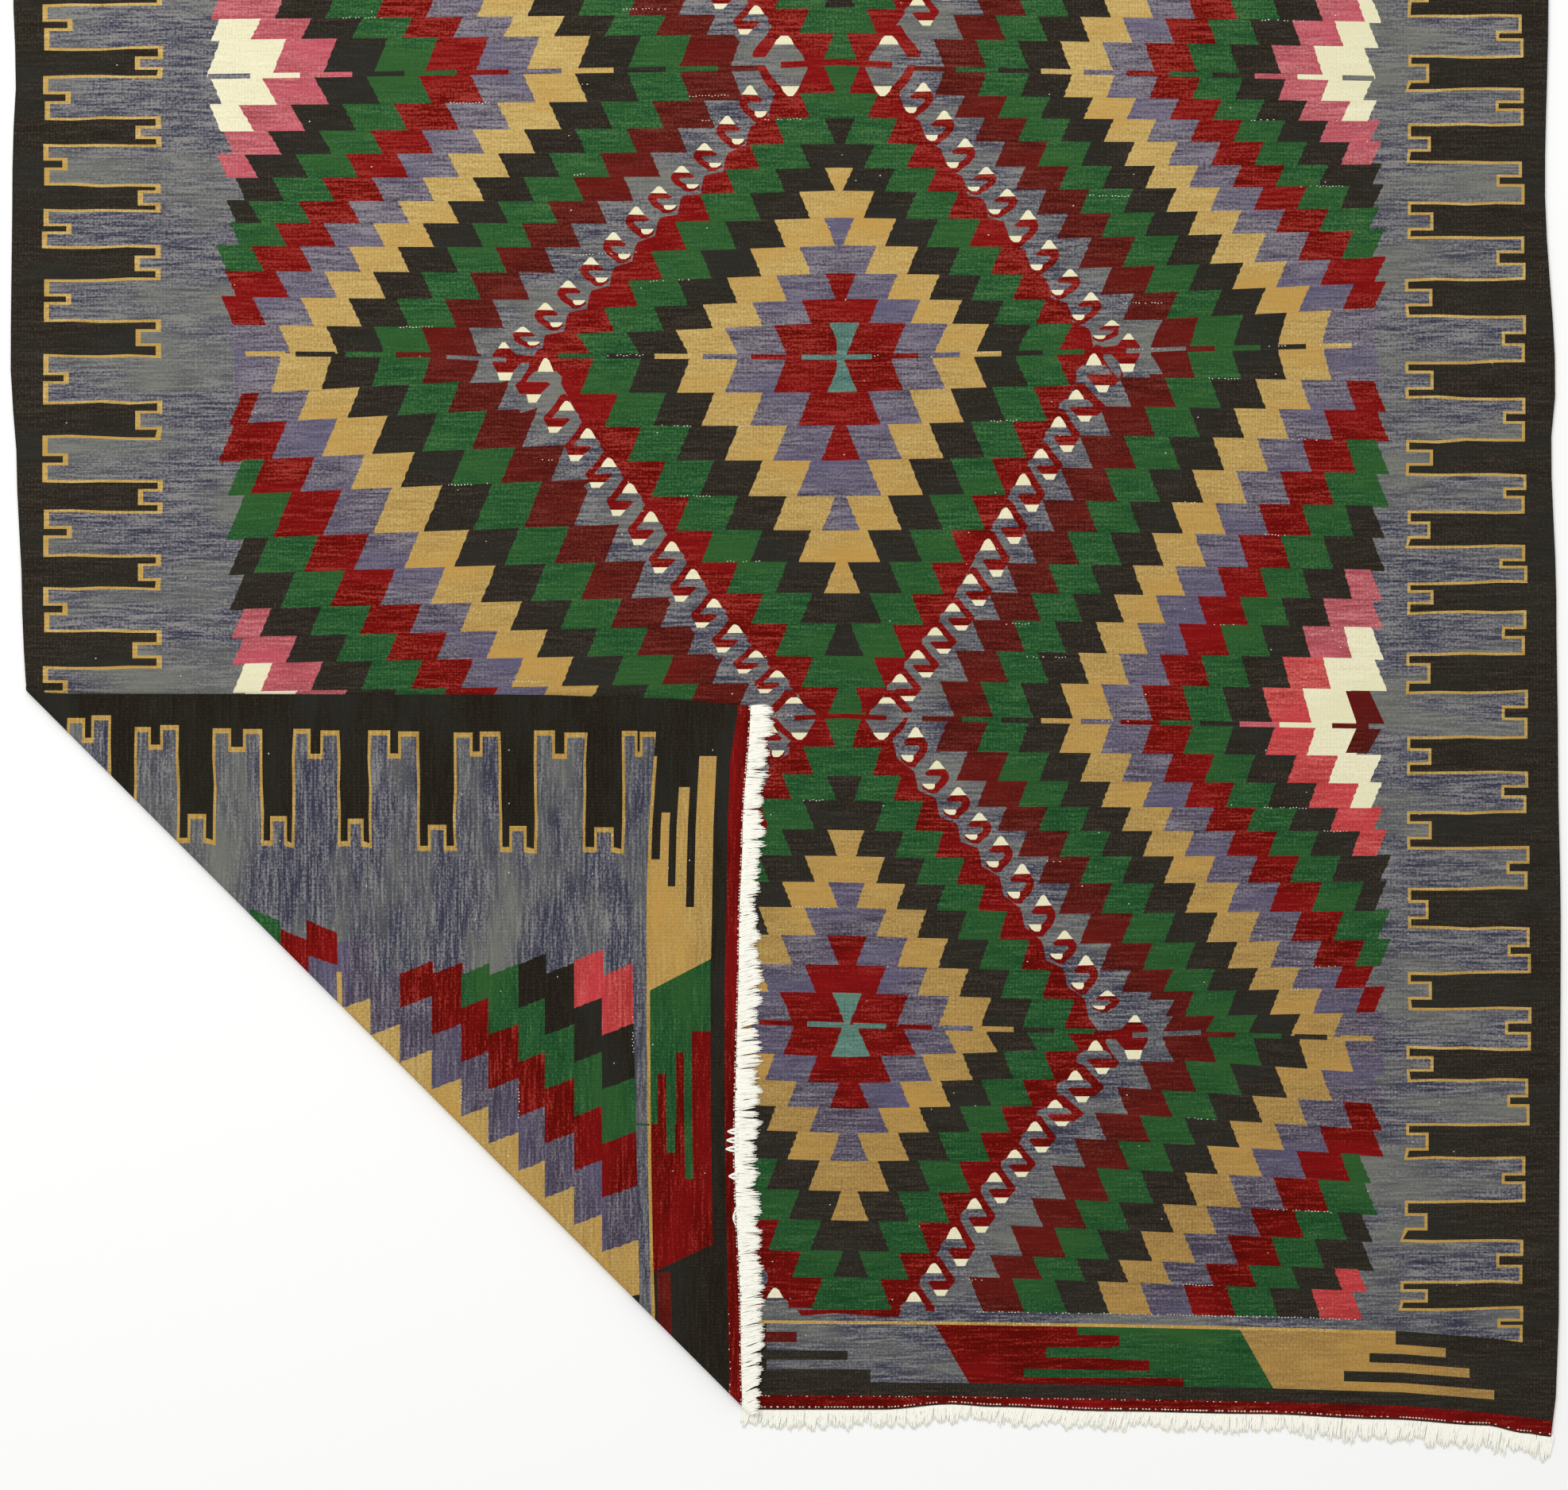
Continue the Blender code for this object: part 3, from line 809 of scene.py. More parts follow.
# Specks along bands of the near end: (y of the band's edge, x from, x to, share of the warps that show)
SPECKED_EDGES = ((1649, 1230, 1710, 0.7), (1664, 1000, 1500, 0.3), (1757, 800, 1600, 0.35))
END_SPECKS = 0.7  # share of the warps that show along the very end
END_SPECK_SIZE = 1.4
END_SPECK_INSIDE = END_WEFT + 1.6  # how far from the very end they lie


def lay_speck(chart, x, y, rng, size=1.0):
    wide = size * rng.uniform(*SPECK_WIDE)
    tall = size * rng.uniform(*SPECK_TALL)
    chart.append(("bare", [(x - wide, y), (x, y - tall), (x + wide, y), (x, y + tall)]))


def lay_speck_run(chart, lattice, n, starts, rng):
    """Specks along a stretch of the start of row n."""
    out = rng.uniform(*starts)
    end = out + rng.uniform(*SPECK_RUNS)
    gaps = rng.uniform(*SPECK_GAPS)
    while out < end:
        x = lattice.near.axis + lattice.side * out
        if rng.random() > gaps:
            lay_speck(chart, x, lattice.mark_y(n, x) + rng.uniform(-ROW_WANDER, ROW_WANDER), rng)
        out += SPECK_PITCH


def lay_specks(chart):
    """Bare warps that show as specks, in rows where one row of bands meets the next and singly."""
    rng = random.Random(17)
    for quarter in QUARTERS:
        for lattice, starts in zip(lattices(quarter), (INNER_SPECKS, OUTER_SPECKS)):
            for n in range(lattice.rows + 1):
                for _ in range(SPECK_TRIES):
                    if rng.random() <= SPECK_ROWS:
                        lay_speck_run(chart, lattice, n, starts, rng)
    for base, x, end, share in SPECKED_EDGES:
        while x < end:
            if rng.random() < share:
                lay_speck(chart, x, band_y(base, x) + rng.uniform(-BAND_WANDER, BAND_WANDER), rng)
            x += SPECK_PITCH
    end = near_end_points(END_SPECK_INSIDE)
    x = end[0][0]
    while x < end[-1][0]:
        if rng.random() < END_SPECKS:
            lay_speck(chart, x, row_value(end, x), rng, END_SPECK_SIZE)
        x += SPECK_PITCH
    for _ in range(SPECK_SINGLES):
        lay_speck(chart, rng.uniform(*SINGLES_ACROSS), rng.uniform(*SINGLES_ALONG), rng)


def make_chart():
    """The whole chart. The bands of the far end mirror those of the near end."""
    (left, right), (far, near) = CHART_SIDES, CHART_ENDS
    chart = [("slate", [(left, far), (right, far), (right, near), (left, near)])]
    lay_field(chart)
    chart.append(("wine", WINE_TIP))
    lay_needles(chart)
    for crossing in CROSSINGS:
        lay_crossing(chart, crossing)
    for tip in TIPS:
        lay_tip(chart, tip)
    lay_combs(chart)
    near_bands = []
    lay_end_bands(near_bands)
    chart += near_bands
    mirror = CHART_NEAR + CHART_FAR
    chart += [(yarn, [(x, mirror - y) for x, y in points]) for yarn, points in near_bands]
    lay_specks(chart)
    return chart


# ---- The flat cloth and its fold ----


def eased(share):
    """A share from 0 to 1 that starts and ends gently."""
    return share * share * (3 - 2 * share)


def table_value(table, at):
    """The table's second column at a value of its first, both in mm, eased between rows, in metres."""
    at = at / MM
    if at <= table[0][0]:
        return table[0][1] * MM
    for (start, low), (end, high) in zip(table, table[1:]):
        if at <= end:
            share = (at - start) / (end - start)
            return between(low, high, eased(share)) * MM
    return table[-1][1] * MM


def steps_between(start, end, pitch):
    """Evenly spaced values from start to end, about pitch apart, with both ends."""
    count = max(1, round(abs(end - start) / pitch))
    return [start + (end - start) * i / count for i in range(count + 1)]


def end_points(table, nominal):
    """Points of one end of the cloth from left to right."""
    across = steps_between(table[0][0] * MM, table[-1][0] * MM, LOCK_PITCH)
    return [(u, nominal + table_value(table, u)) for u in across]


def selvedge_points(table, side, start, end):
    """Points of one selvedge between the two given corners, without them."""
    along = steps_between(start[1], end[1], EDGE_STEP)[1:-1]
    return [(side * table_value(table, v), v) for v in along]


def cloth_outline():
    """The cloth's outline laid flat, counterclockwise from its near left corner."""
    near = end_points(NEAR_END, 0.0)
    far = end_points(FAR_END, LENGTH)
    right = selvedge_points(RIGHT_SELVEDGE, RIGHT, near[-1], far[-1])
    left = selvedge_points(LEFT_SELVEDGE, LEFT, near[0], far[0])
    return near + right + far[::-1] + left[::-1]


def past_fold(u, v):
    """How far a point of the flat cloth is past the fold line, measured square to it."""
    return (FOLD_SUM - u - v) / math.sqrt(2)


def fold_profile():
    """Rows of (past_fold, forward, height, turn) of the middle of the cloth's thickness.

    forward is measured square to the fold line like past_fold, and turn is how far the cloth has turned over.
    """
    drop = 2 * BEND_RADIUS - THICKNESS - LAYER_GAP
    tilt = math.asin(drop / (1.5 * SETTLE_RUN))  # levelling out drops half as far as sloping down
    rows = []
    forward = -(BEND_RADIUS + THICKNESS / 2)
    start = forward
    height = THICKNESS / 2
    for i in range(BEND_STEPS + 1):
        turn = (math.pi + tilt) * i / BEND_STEPS
        out = BEND_RADIUS * math.sin(turn)
        up = BEND_RADIUS * (1 - math.cos(turn))
        rows.append((start + BEND_RADIUS * turn, forward + out, height + up, turn))
    for i in range(SETTLE_STEPS + 1):
        turn = math.pi + tilt * (1 - i / SETTLE_STEPS)
        run = SETTLE_RUN if i == 0 else SETTLE_RUN / SETTLE_STEPS
        mean_turn = turn if i == 0 else turn + tilt / SETTLE_STEPS / 2
        at, ahead, up, _ = rows[-1]
        rows.append((at + run, ahead + run * math.cos(mean_turn), up + run * math.sin(mean_turn), turn))
    return rows


PROFILE = fold_profile()


def profile_point(row, offset):
    """Where a profile row puts a point at an offset above the cloth's underside: (forward, height)."""
    _, forward, height, turn = row
    out = offset - THICKNESS / 2
    return forward - out * math.sin(turn), height + out * math.cos(turn)


def lay(u, v, offset):
    """Where the point (u, v) of the flat cloth lies, at an offset above the cloth's underside."""
    past = past_fold(u, v)
    if past <= PROFILE[0][0]:
        return Vector((u, v, offset))
    if past >= PROFILE[-1][0]:
        forward, height = profile_point(PROFILE[-1], offset)
        forward -= past - PROFILE[-1][0]
    else:
        for low, high in zip(PROFILE, PROFILE[1:]):
            if past <= high[0]:
                break
        share = (past - low[0]) / (high[0] - low[0])
        start = profile_point(low, offset)
        end = profile_point(high, offset)
        forward, height = (between(a, b, share) for a, b in zip(start, end))
    shift = (past - forward) / math.sqrt(2)
    return Vector((u + shift, v + shift, height))


def model_shift():
    """How the CAD source moved the model to put the middle of its box over the origin."""
    low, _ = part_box("rug_body")
    laid = [lay(u, v, 0) for u, v in cloth_outline()]
    return Vector((low[0] - min(p.x for p in laid), low[1] - min(p.y for p in laid), 0))


SHIFT = model_shift()


def place(u, v, offset):
    """Where the point (u, v) of the flat cloth lies in the model."""
    return lay(u, v, offset) + SHIFT


def from_chart(x, y):
    return (x - CHART_MIDDLE) * CHART_UNIT, (CHART_NEAR - y) * CHART_UNIT


# ---- The woven cloth ----

WELD = 0.02 * MM  # points of the chart closer than this are one
FOLD_ENDS = (-1.1, 0.6)  # u of the ends of a line laid along the fold, past the cloth on both sides


def covered(polygon, x, y):
    """Which of the points with coordinates x and y, as arrays, lie in the polygon."""
    inside = np.zeros(len(x), bool)
    for (xa, ya), (xb, yb) in zip(polygon, polygon[1:] + polygon[:1]):
        crossed = (ya > y) != (yb > y)
        if ya != yb:
            inside ^= crossed & (x < xa + (y - ya) * (xb - xa) / (yb - ya))
    return inside


def woven_triangles(chart):
    """The chart cut to the cloth and to the bends of its fold.

    Returns the flat points, and for each triangle its three points and its place in the chart.
    """
    outline = cloth_outline()
    shapes = [[from_chart(x, y) for x, y in shape] for _, shape in chart]
    points = []
    edges = []
    for polygon in [outline] + shapes:
        first = len(points)
        count = len(polygon)
        edges += [(first + i, first + (i + 1) % count) for i in range(count)]
        points += polygon
    for past, *_ in PROFILE:
        total = FOLD_SUM - past * math.sqrt(2)
        edges.append((len(points), len(points) + 1))
        points += [(u, total - u) for u in FOLD_ENDS]
    flat, _, triangles, *_ = delaunay_2d_cdt([Vector(p) for p in points], edges, [], 0, WELD)
    corners = np.array(flat)[np.array(triangles)]
    middles = corners.mean(axis=1)
    order = np.argsort(middles[:, 1])
    x, y = middles[order, 0], middles[order, 1]
    layer = np.full(len(order), -1)
    for i, shape in enumerate(shapes):
        low, high = np.searchsorted(y, (min(p[1] for p in shape), max(p[1] for p in shape)))
        inside = covered(shape, x[low:high], y[low:high])
        layer[low:high][inside] = i
    layer[~covered(outline, x, y)] = -1
    woven = [(triangles[k], i) for k, i in zip(order.tolist(), layer.tolist()) if i >= 0]
    return flat, woven


def add_object(name, data):
    obj = bpy.data.objects.new(name, data)
    bpy.context.collection.objects.link(obj)
    return obj


def build_rug(materials):
    """The whole cloth as one closed sheet, with a slot for each yarn."""
    chart = make_chart()
    flat, woven = woven_triangles(chart)
    names = list(materials)
    solid = bmesh.new()
    used = sorted({corner for corners, _ in woven for corner in corners})
    at = solid.verts.layers.float_vector.new("flat")
    top = {}
    bottom = {}
    for i in used:
        u, v = flat[i]
        for verts, offset, under in ((top, THICKNESS, 0.0), (bottom, 0.0, 1.0)):
            verts[i] = solid.verts.new(place(u, v, offset))
            verts[i][at] = (u, v, under)
    sides = {}
    for (a, b, c), layer in woven:
        index = names.index(chart[layer][0])
        for corners in ((top[a], top[b], top[c]), (bottom[c], bottom[b], bottom[a])):
            face = solid.faces.new(corners)
            face.material_index = index
            face.smooth = True
        for start, end in ((a, b), (b, c), (c, a)):
            if (end, start) in sides:
                del sides[(end, start)]
            else:
                sides[(start, end)] = index
    for (start, end), index in sides.items():
        face = solid.faces.new((bottom[start], bottom[end], top[end], top[start]))
        face.material_index = index
        for edge in face.edges:
            edge.smooth = False
    mesh = bpy.data.meshes.new("kilim_cloth")
    solid.to_mesh(mesh)
    solid.free()
    for material in materials.values():
        mesh.materials.append(material)
    return add_object("kilim_cloth", mesh)


# ---- Fringes ----

WARP_PITCH = 3.6 * MM
STRANDS_PER_WARP = 9
STRAND_RADIUS = 0.7 * MM
STRAND_SIDES = 4
STRAND_STATIONS = (0.0, 0.16, 0.36, 0.58, 0.8, 1.0)
STRAND_TAPER = 0.45  # share by which a strand is thinner at its tip
FRINGE_ROOT = 2.0 * MM  # how far a strand starts inside the cloth's end
# Height of a strand's root and tip, how far it rises and sways between them, and how far tips spread, in mm
FLAP_HEIGHTS = (1.7, 3.2)
FLAT_HEIGHTS = (0.9, 1.7)
TIP_HEIGHT = 0.8
FLAP_ROOM = 0.2 * MM  # by which strands on the flap lie lower than that
LIFTS = (-0.2, 0.6)
SWAY = 0.9
SPREAD = 1.8
STRAND_LENGTHS = (0.80, 1.06)  # shares of the usual length
# Length of the near fringe: (distance across from the middle line, length), in mm
NEAR_LENGTHS = (
    (-849, 26), (-700, 27), (-640, 23), (-520, 27), (-430, 33), (-350, 29), (-130, 27), (0, 26), (300, 24),
    (560, 26), (680, 31), (874, 32),
)
FAR_LENGTHS = ((-861, 27), (861, 27))
# Ends of the cloth: its line, where it nominally lies, and the way its fringe runs
Ending = namedtuple("Ending", "line nominal away lengths")
NEAR_ENDING = Ending(NEAR_END, 0.0, -1, NEAR_LENGTHS)
FAR_ENDING = Ending(FAR_END, LENGTH, 1, FAR_LENGTHS)
CLUMP_WIDTH = 11 * MM
CLUMP_WIDTHS = (0.5, 1.6)  # shares of the usual width
CLUMP_LENGTHS = (0.78, 1.08)  # shares of the usual length
CLUMP_GATHER = 0.25  # most that a strand's tip is drawn to the middle of its clump
CLUMP_ROUND = 0.20  # how much shorter a clump is at its sides
CLUMP_LEAN = 2.5  # mm by which tips lean to the left, and by which that changes along the end
LEAN_WAVE = 70  # mm along the end over which the lean's wave turns by a radian
LEAN_SPREAD = 2  # mm by which the clumps' leans differ
CORNER_FAN = 3 * MM  # how far the flat and the folded fringe overlap at the fold's corner
# Curled warp ends on the flap: (distance across from the middle line, width, height), in mm
LOOPS = ((-364, 5, 12), (-354, 5, 13), (-344, 5, 14), (-313, 6, 11), (-266, 20, 8))
LOOP_STEPS = 8
LOOP_TONE = 0.9
LOOP_PLIES = ((0.6, 0.8), (0.9, 1.0), (1.3, 0.9))  # (share of the width, share of the height)


def add_strand(mesh, path, tone, tone_layer):
    """A thin closed tube along the path, tapering to its end."""
    rings = []
    for i, point in enumerate(path):
        before = path[max(0, i - 1)]
        after = path[min(len(path) - 1, i + 1)]
        ahead = (after - before).normalized()
        across = ahead.cross(Vector((0, 0, 1)))
        if across.length < 0.1:
            across = Vector((1, 0, 0))
        across.normalize()
        up = across.cross(ahead)
        size = STRAND_RADIUS * (1 - STRAND_TAPER * (i / (len(path) - 1)) ** 2)
        ring = []
        for k in range(STRAND_SIDES):
            angle = 2 * math.pi * k / STRAND_SIDES
            vert = mesh.verts.new(point + (across * math.cos(angle) + up * math.sin(angle)) * size)
            vert[tone_layer] = tone
            ring.append(vert)
        rings.append(ring)
    for ring, following in zip(rings, rings[1:]):
        for k in range(STRAND_SIDES):
            after = (k + 1) % STRAND_SIDES
            face = mesh.faces.new((ring[k], following[k], following[after], ring[after]))
            face.smooth = True
    mesh.faces.new(rings[0])
    mesh.faces.new(rings[-1][::-1])


def clump_marks(start, end, rng):
    """Where the fringe's clumps lie: (left side, right side, lean, share of the usual length)."""
    marks = []
    at = start
    while at < end:
        width = CLUMP_WIDTH * rng.uniform(*CLUMP_WIDTHS)
        wave_lean = CLUMP_LEAN * math.sin(at / MM / LEAN_WAVE) - CLUMP_LEAN
        lean = (wave_lean + rng.uniform(-LEAN_SPREAD, LEAN_SPREAD)) * MM
        marks.append((at, at + width, lean, rng.uniform(*CLUMP_LENGTHS)))
        at += width
    return marks


def strand_path(root, tip, length, edge, rng, on_flap):
    """Points of a strand from its root to its tip across, past the cloth's end at edge = (v, away)."""
    height = rng.uniform(*(FLAP_HEIGHTS if on_flap else FLAT_HEIGHTS)) * MM
    lift = rng.uniform(*LIFTS) * MM
    sway = rng.uniform(-SWAY, SWAY) * MM
    path = []
    for s in STRAND_STATIONS:
        u = between(root, tip, eased(s)) + sway * math.sin(math.pi * s)
        v = edge[0] + edge[1] * (length * s - FRINGE_ROOT)
        rise = max(STRAND_RADIUS, between(height, TIP_HEIGHT * MM, s) + lift * math.sin(math.pi * s))
        if on_flap:
            laid = place(u, v, THICKNESS + FLAP_ROOM - rise)
            laid.z = max(laid.z, STRAND_RADIUS)
            path.append(laid)
        else:
            path.append(Vector((u, v, rise)) + SHIFT)
    return path


def add_loops(mesh, tone_layer):
    """The curled warp ends that lie back over the flap."""
    for across, width, height in LOOPS:
        edge = table_value(NEAR_END, across * MM) - FRINGE_ROOT
        for wide, tall in LOOP_PLIES:
            path = []
            for i in range(LOOP_STEPS + 1):
                angle = math.pi * i / LOOP_STEPS
                u = (across - wide * width / 2 * math.cos(angle)) * MM
                path.append(place(u, edge + tall * height * math.sin(angle) * MM, -STRAND_RADIUS * wide))
            add_strand(mesh, path, LOOP_TONE, tone_layer)


def build_fringe(name, ending, span, seed, material, on_flap=False):
    """The warp ends past an end of the cloth, between two values of u."""
    rng = random.Random(seed)
    mesh = bmesh.new()
    tone_layer = mesh.verts.layers.float.new("tone")
    start, end = span
    for low, high, lean, share in clump_marks(start, end, rng):
        middle = (low + high) / 2
        for warp in steps_between(low, min(high, end), WARP_PITCH)[:-1]:
            for k in range(STRANDS_PER_WARP):
                root = warp + (k + rng.uniform(-0.5, 0.5)) * WARP_PITCH / STRANDS_PER_WARP
                aside = (root - middle) / (high - low) * 2
                tip = root - (root - middle) * rng.uniform(0.0, CLUMP_GATHER) + lean
                tip += rng.uniform(-SPREAD, SPREAD) * MM
                usual = table_value(ending.lengths, root) * share * (1 - CLUMP_ROUND * aside * aside)
                length = usual * rng.uniform(*STRAND_LENGTHS)
                edge = (ending.nominal + table_value(ending.line, root), ending.away)
                path = strand_path(root, tip, length, edge, rng, on_flap)
                add_strand(mesh, path, rng.random(), tone_layer)
    if on_flap:
        add_loops(mesh, tone_layer)
    data = bpy.data.meshes.new(name)
    mesh.to_mesh(data)
    mesh.free()
    data.materials.append(material)
    return add_object(name, data)


# ---- Materials ----

# Yarns: colours as seen, from the darkest threads to the lightest, the colour of another lot, how strongly a
# yarn streaks, how much lighter it gets in a metre toward the far end, and how much lighter underneath
Yarn = namedtuple("Yarn", "dark usual light lot streak fade under")
YARNS = {
    "black": Yarn((32, 28, 21), (45, 40, 33), (72, 64, 56), (44, 44, 40), 0.5, 0.0, -0.25),
    "green": Yarn((24, 62, 32), (38, 83, 46), (76, 115, 66), (50, 90, 44), 0.6, 0.1, 0.0),
    "red": Yarn((84, 11, 7), (112, 16, 10), (154, 54, 46), (132, 18, 20), 1.1, 0.2, 0.0),
    "maroon": Yarn((62, 17, 13), (86, 27, 21), (114, 50, 42), (106, 25, 21), 0.8, 0.1, 0.0),
    "gold": Yarn((146, 112, 64), (176, 145, 84), (206, 180, 114), (188, 146, 74), 0.4, 0.3, 0.2),
    "amber": Yarn((154, 120, 58), (188, 155, 88), (214, 186, 120), (184, 144, 70), 0.6, 0.1, -0.1),
    "violet": Yarn((64, 58, 74), (103, 96, 106), (138, 132, 140), (92, 87, 114), 1.0, 0.2, -0.05),
    "slate": Yarn((56, 56, 72), (94, 94, 103), (136, 133, 130), (118, 119, 109), 1.3, 0.1, -0.07),
    "teal": Yarn((60, 94, 88), (87, 121, 112), (116, 148, 138), (98, 132, 112), 0.8, 0.0, 0.0),
    "pink": Yarn((152, 68, 74), (175, 90, 96), (204, 124, 128), (196, 82, 98), 0.9, 0.1, 0.0),
    "coral": Yarn((160, 50, 48), (190, 78, 75), (216, 112, 108), (200, 62, 70), 0.8, 0.3, 0.0),
    "ivory": Yarn((216, 208, 174), (232, 226, 192), (244, 240, 210), (226, 222, 180), 0.4, 0.0, 0.0),
    "wine": Yarn((60, 14, 10), (81, 26, 20), (104, 42, 34), (98, 24, 22), 0.7, 0.0, 0.0),
    "bare": Yarn((206, 198, 176), (228, 222, 204), (244, 240, 228), (214, 206, 186), 0.3, 0.0, 0.0),
}
# Noises over the cloth: waves in a metre across and along it, how many finer ones are added, and the weight
Grain = namedtuple("Grain", "across along detail weight")
STREAKS = Grain(24, 340, 4, 2.0)
SHADES = Grain(3, 34, 2, 0.4)
BLOTS = Grain(24, 80, 3, 0.5)
HEATHER = Grain(300, 420, 2, 0.9)
LOTS = Grain(5, 16, 5, 4.5)
FIBRES = Grain(900, 220, 2, 0.5)  # of the cotton
GRAIN_ROUGHNESS = 0.55
LEAST_HEATHER = 0.7  # weight of the heather in a yarn without streaks
# how strongly the warp ribs lighten and darken the colour: painted shade of the ribs, besides their real bump
# in the relief
RIB_PAINTED_SHADE = 0.12
RIB_UNEVEN = 0.6
LOT_BASE = 0.2  # below 0.5, so that the usual lot covers more of the cloth
LOT_SHARE = 0.8  # how far a patch of the other lot differs
DARKEST = 0.12  # places of the darkest and the lightest threads on the scale of tones
LIGHTEST = 0.9
FADE_MIDDLE = 0.9  # metres from the near end at which a dye is as usual
WEFT_PITCH = 1.5 * MM
WOOL_RELIEF = 0.35 * MM
WOOL_BUMP = 0.5
YARN_ROUGHNESS = 0.92
COTTON_DARK = (0.96, 0.94, 0.83, 1)
COTTON_LIGHT = (1.0, 0.99, 0.91, 1)
STRAND_TONES = 0.7  # how far the strands' tones differ
COTTON_BASE = 0.55  # tone of a usual strand
COTTON_RELIEF = 0.2 * MM
COTTON_BUMP = 0.2
FLOOR_WHITE = (0.94, 0.94, 0.93, 1)
FLOOR_ROUGHNESS = 0.95
MATT = 0.03  # specular level of all of them
LIGHT_LEVEL = 1.06  # brightness of a white surface facing up


def linear(channel):
    """The reflectance that shows as a channel's value from 0 to 255 under this light."""
    value = channel / 255
    low = value / 12.92
    high = ((value + 0.055) / 1.055) ** 2.4
    return (low if value <= 0.04045 else high) / LIGHT_LEVEL


def colour(rgb):
    """A shader's colour for one as seen, from 0 to 255."""
    return (*(min(1.0, linear(channel)) for channel in rgb), 1.0)


def feed(tree, node, inputs):
    """Gives a node's inputs, by name or number, their values or the sockets that they are linked to."""
    for key, value in inputs.items():
        if isinstance(value, bpy.types.NodeSocket):
            tree.links.new(value, node.inputs[key])
        else:
            node.inputs[key].default_value = value


def add_node(tree, kind, inputs, **settings):
    node = tree.nodes.new(kind)
    for name, value in settings.items():
        setattr(node, name, value)
    feed(tree, node, inputs)
    return node


def attribute(tree, name, output):
    return add_node(tree, "ShaderNodeAttribute", {}, attribute_name=name).outputs[output]


def noise(tree, where, grain):
    """A value about 0.5 that varies with the place."""
    mapping = add_node(tree, "ShaderNodeMapping", {"Vector": where, "Scale": (grain.across, grain.along, 1)})
    waves = {"Scale": 1.0, "Detail": grain.detail, "Roughness": GRAIN_ROUGHNESS}
    waves["Vector"] = mapping.outputs["Vector"]
    return add_node(tree, "ShaderNodeTexNoise", waves).outputs["Fac"]


def wave(tree, where, direction, period):
    """Ribs one period apart, a little uneven."""
    ribs = {"Vector": where, "Scale": math.pi / 10 / period, "Distortion": RIB_UNEVEN, "Detail Scale": 2.0}
    texture = add_node(tree, "ShaderNodeTexWave", ribs, wave_type="BANDS", bands_direction=direction)
    return texture.outputs["Fac"]


def math_node(tree, operation, *values):
    inputs = dict(enumerate(values))
    return add_node(tree, "ShaderNodeMath", inputs, operation=operation).outputs[0]


def weighted(tree, parts, base):
    """base plus each part's (value - 0.5) times its weight."""
    total = base - sum(weight for _, weight in parts) / 2
    for value, weight in parts:
        total = math_node(tree, "MULTIPLY_ADD", value, weight, total)
    return total


def another_lot(tree, where, shade, lot):
    """The shade with patches of another lot of the yarn."""
    patches = weighted(tree, ((noise(tree, where, LOTS), LOTS.weight),), LOT_BASE)
    limited = add_node(tree, "ShaderNodeMapRange", {"Value": patches, "To Max": LOT_SHARE})
    blend = {"Factor": limited.outputs["Result"], 6: shade, 7: colour(lot)}
    return add_node(tree, "ShaderNodeMix", blend, data_type="RGBA").outputs[2]


def faded(tree, where, tone, yarn):
    """The tone with the dye's change along the rug and on its underside."""
    at = add_node(tree, "ShaderNodeSeparateXYZ", {0: where})
    for name, slope, base in (("Y", yarn.fade, -yarn.fade * FADE_MIDDLE), ("Z", yarn.under, 0.0)):
        change = math_node(tree, "MULTIPLY_ADD", at.outputs[name], slope, base)
        tone = math_node(tree, "ADD", tone, change)
    return tone


def ramp(tree, tone, *stops):
    """The tone as a colour. stops are (place, colour): the darkest, the lightest and any between them."""
    node = add_node(tree, "ShaderNodeValToRGB", {"Fac": tone})
    elements = node.color_ramp.elements
    for element, (at, shade) in zip(elements, stops):
        element.color = shade
        element.position = at
    for at, shade in stops[2:]:
        elements.new(at).color = shade
    return node.outputs["Color"]


def bump(tree, height, distance, strength):
    inputs = {"Height": height, "Distance": distance, "Strength": strength}
    return add_node(tree, "ShaderNodeBump", inputs).outputs["Normal"]


def new_material(name):
    material = bpy.data.materials.new(name)
    material.use_nodes = True
    return material, material.node_tree


def finish_shader(tree, inputs):
    """Feeds the material's shader, which is matt."""
    feed(tree, tree.nodes["Principled BSDF"], {"Specular IOR Level": MATT, **inputs})


def wool_material(name, yarn):
    """Weft-faced wool: threads streak across the rug, over the ribs of the warps beneath, whose shade is also
    painted into the colour.
    """
    material, tree = new_material("wool_" + name)
    flat = attribute(tree, "flat", "Vector")
    heather = noise(tree, flat, HEATHER)
    ribs = wave(tree, flat, "X", WARP_PITCH)
    wefts = wave(tree, flat, "Y", WEFT_PITCH)
    parts = [(noise(tree, flat, grain), grain.weight * yarn.streak) for grain in (STREAKS, SHADES, BLOTS)]
    # the ribs also lighten and darken the colour: painted shade of their relief, which the bump below gives
    # as well
    parts += [(heather, LEAST_HEATHER + HEATHER.weight * yarn.streak), (ribs, RIB_PAINTED_SHADE)]
    tone = faded(tree, flat, weighted(tree, parts, 0.5), yarn)
    stops = ((DARKEST, colour(yarn.dark)), (LIGHTEST, colour(yarn.light)), (0.5, colour(yarn.usual)))
    base = another_lot(tree, flat, ramp(tree, tone, *stops), yarn.lot)
    relief = weighted(tree, ((ribs, 0.6), (wefts, 0.4), (heather, 0.5)), 0.5)
    normal = bump(tree, relief, WOOL_RELIEF, WOOL_BUMP)
    finish_shader(tree, {"Base Color": base, "Roughness": YARN_ROUGHNESS, "Normal": normal})
    return material


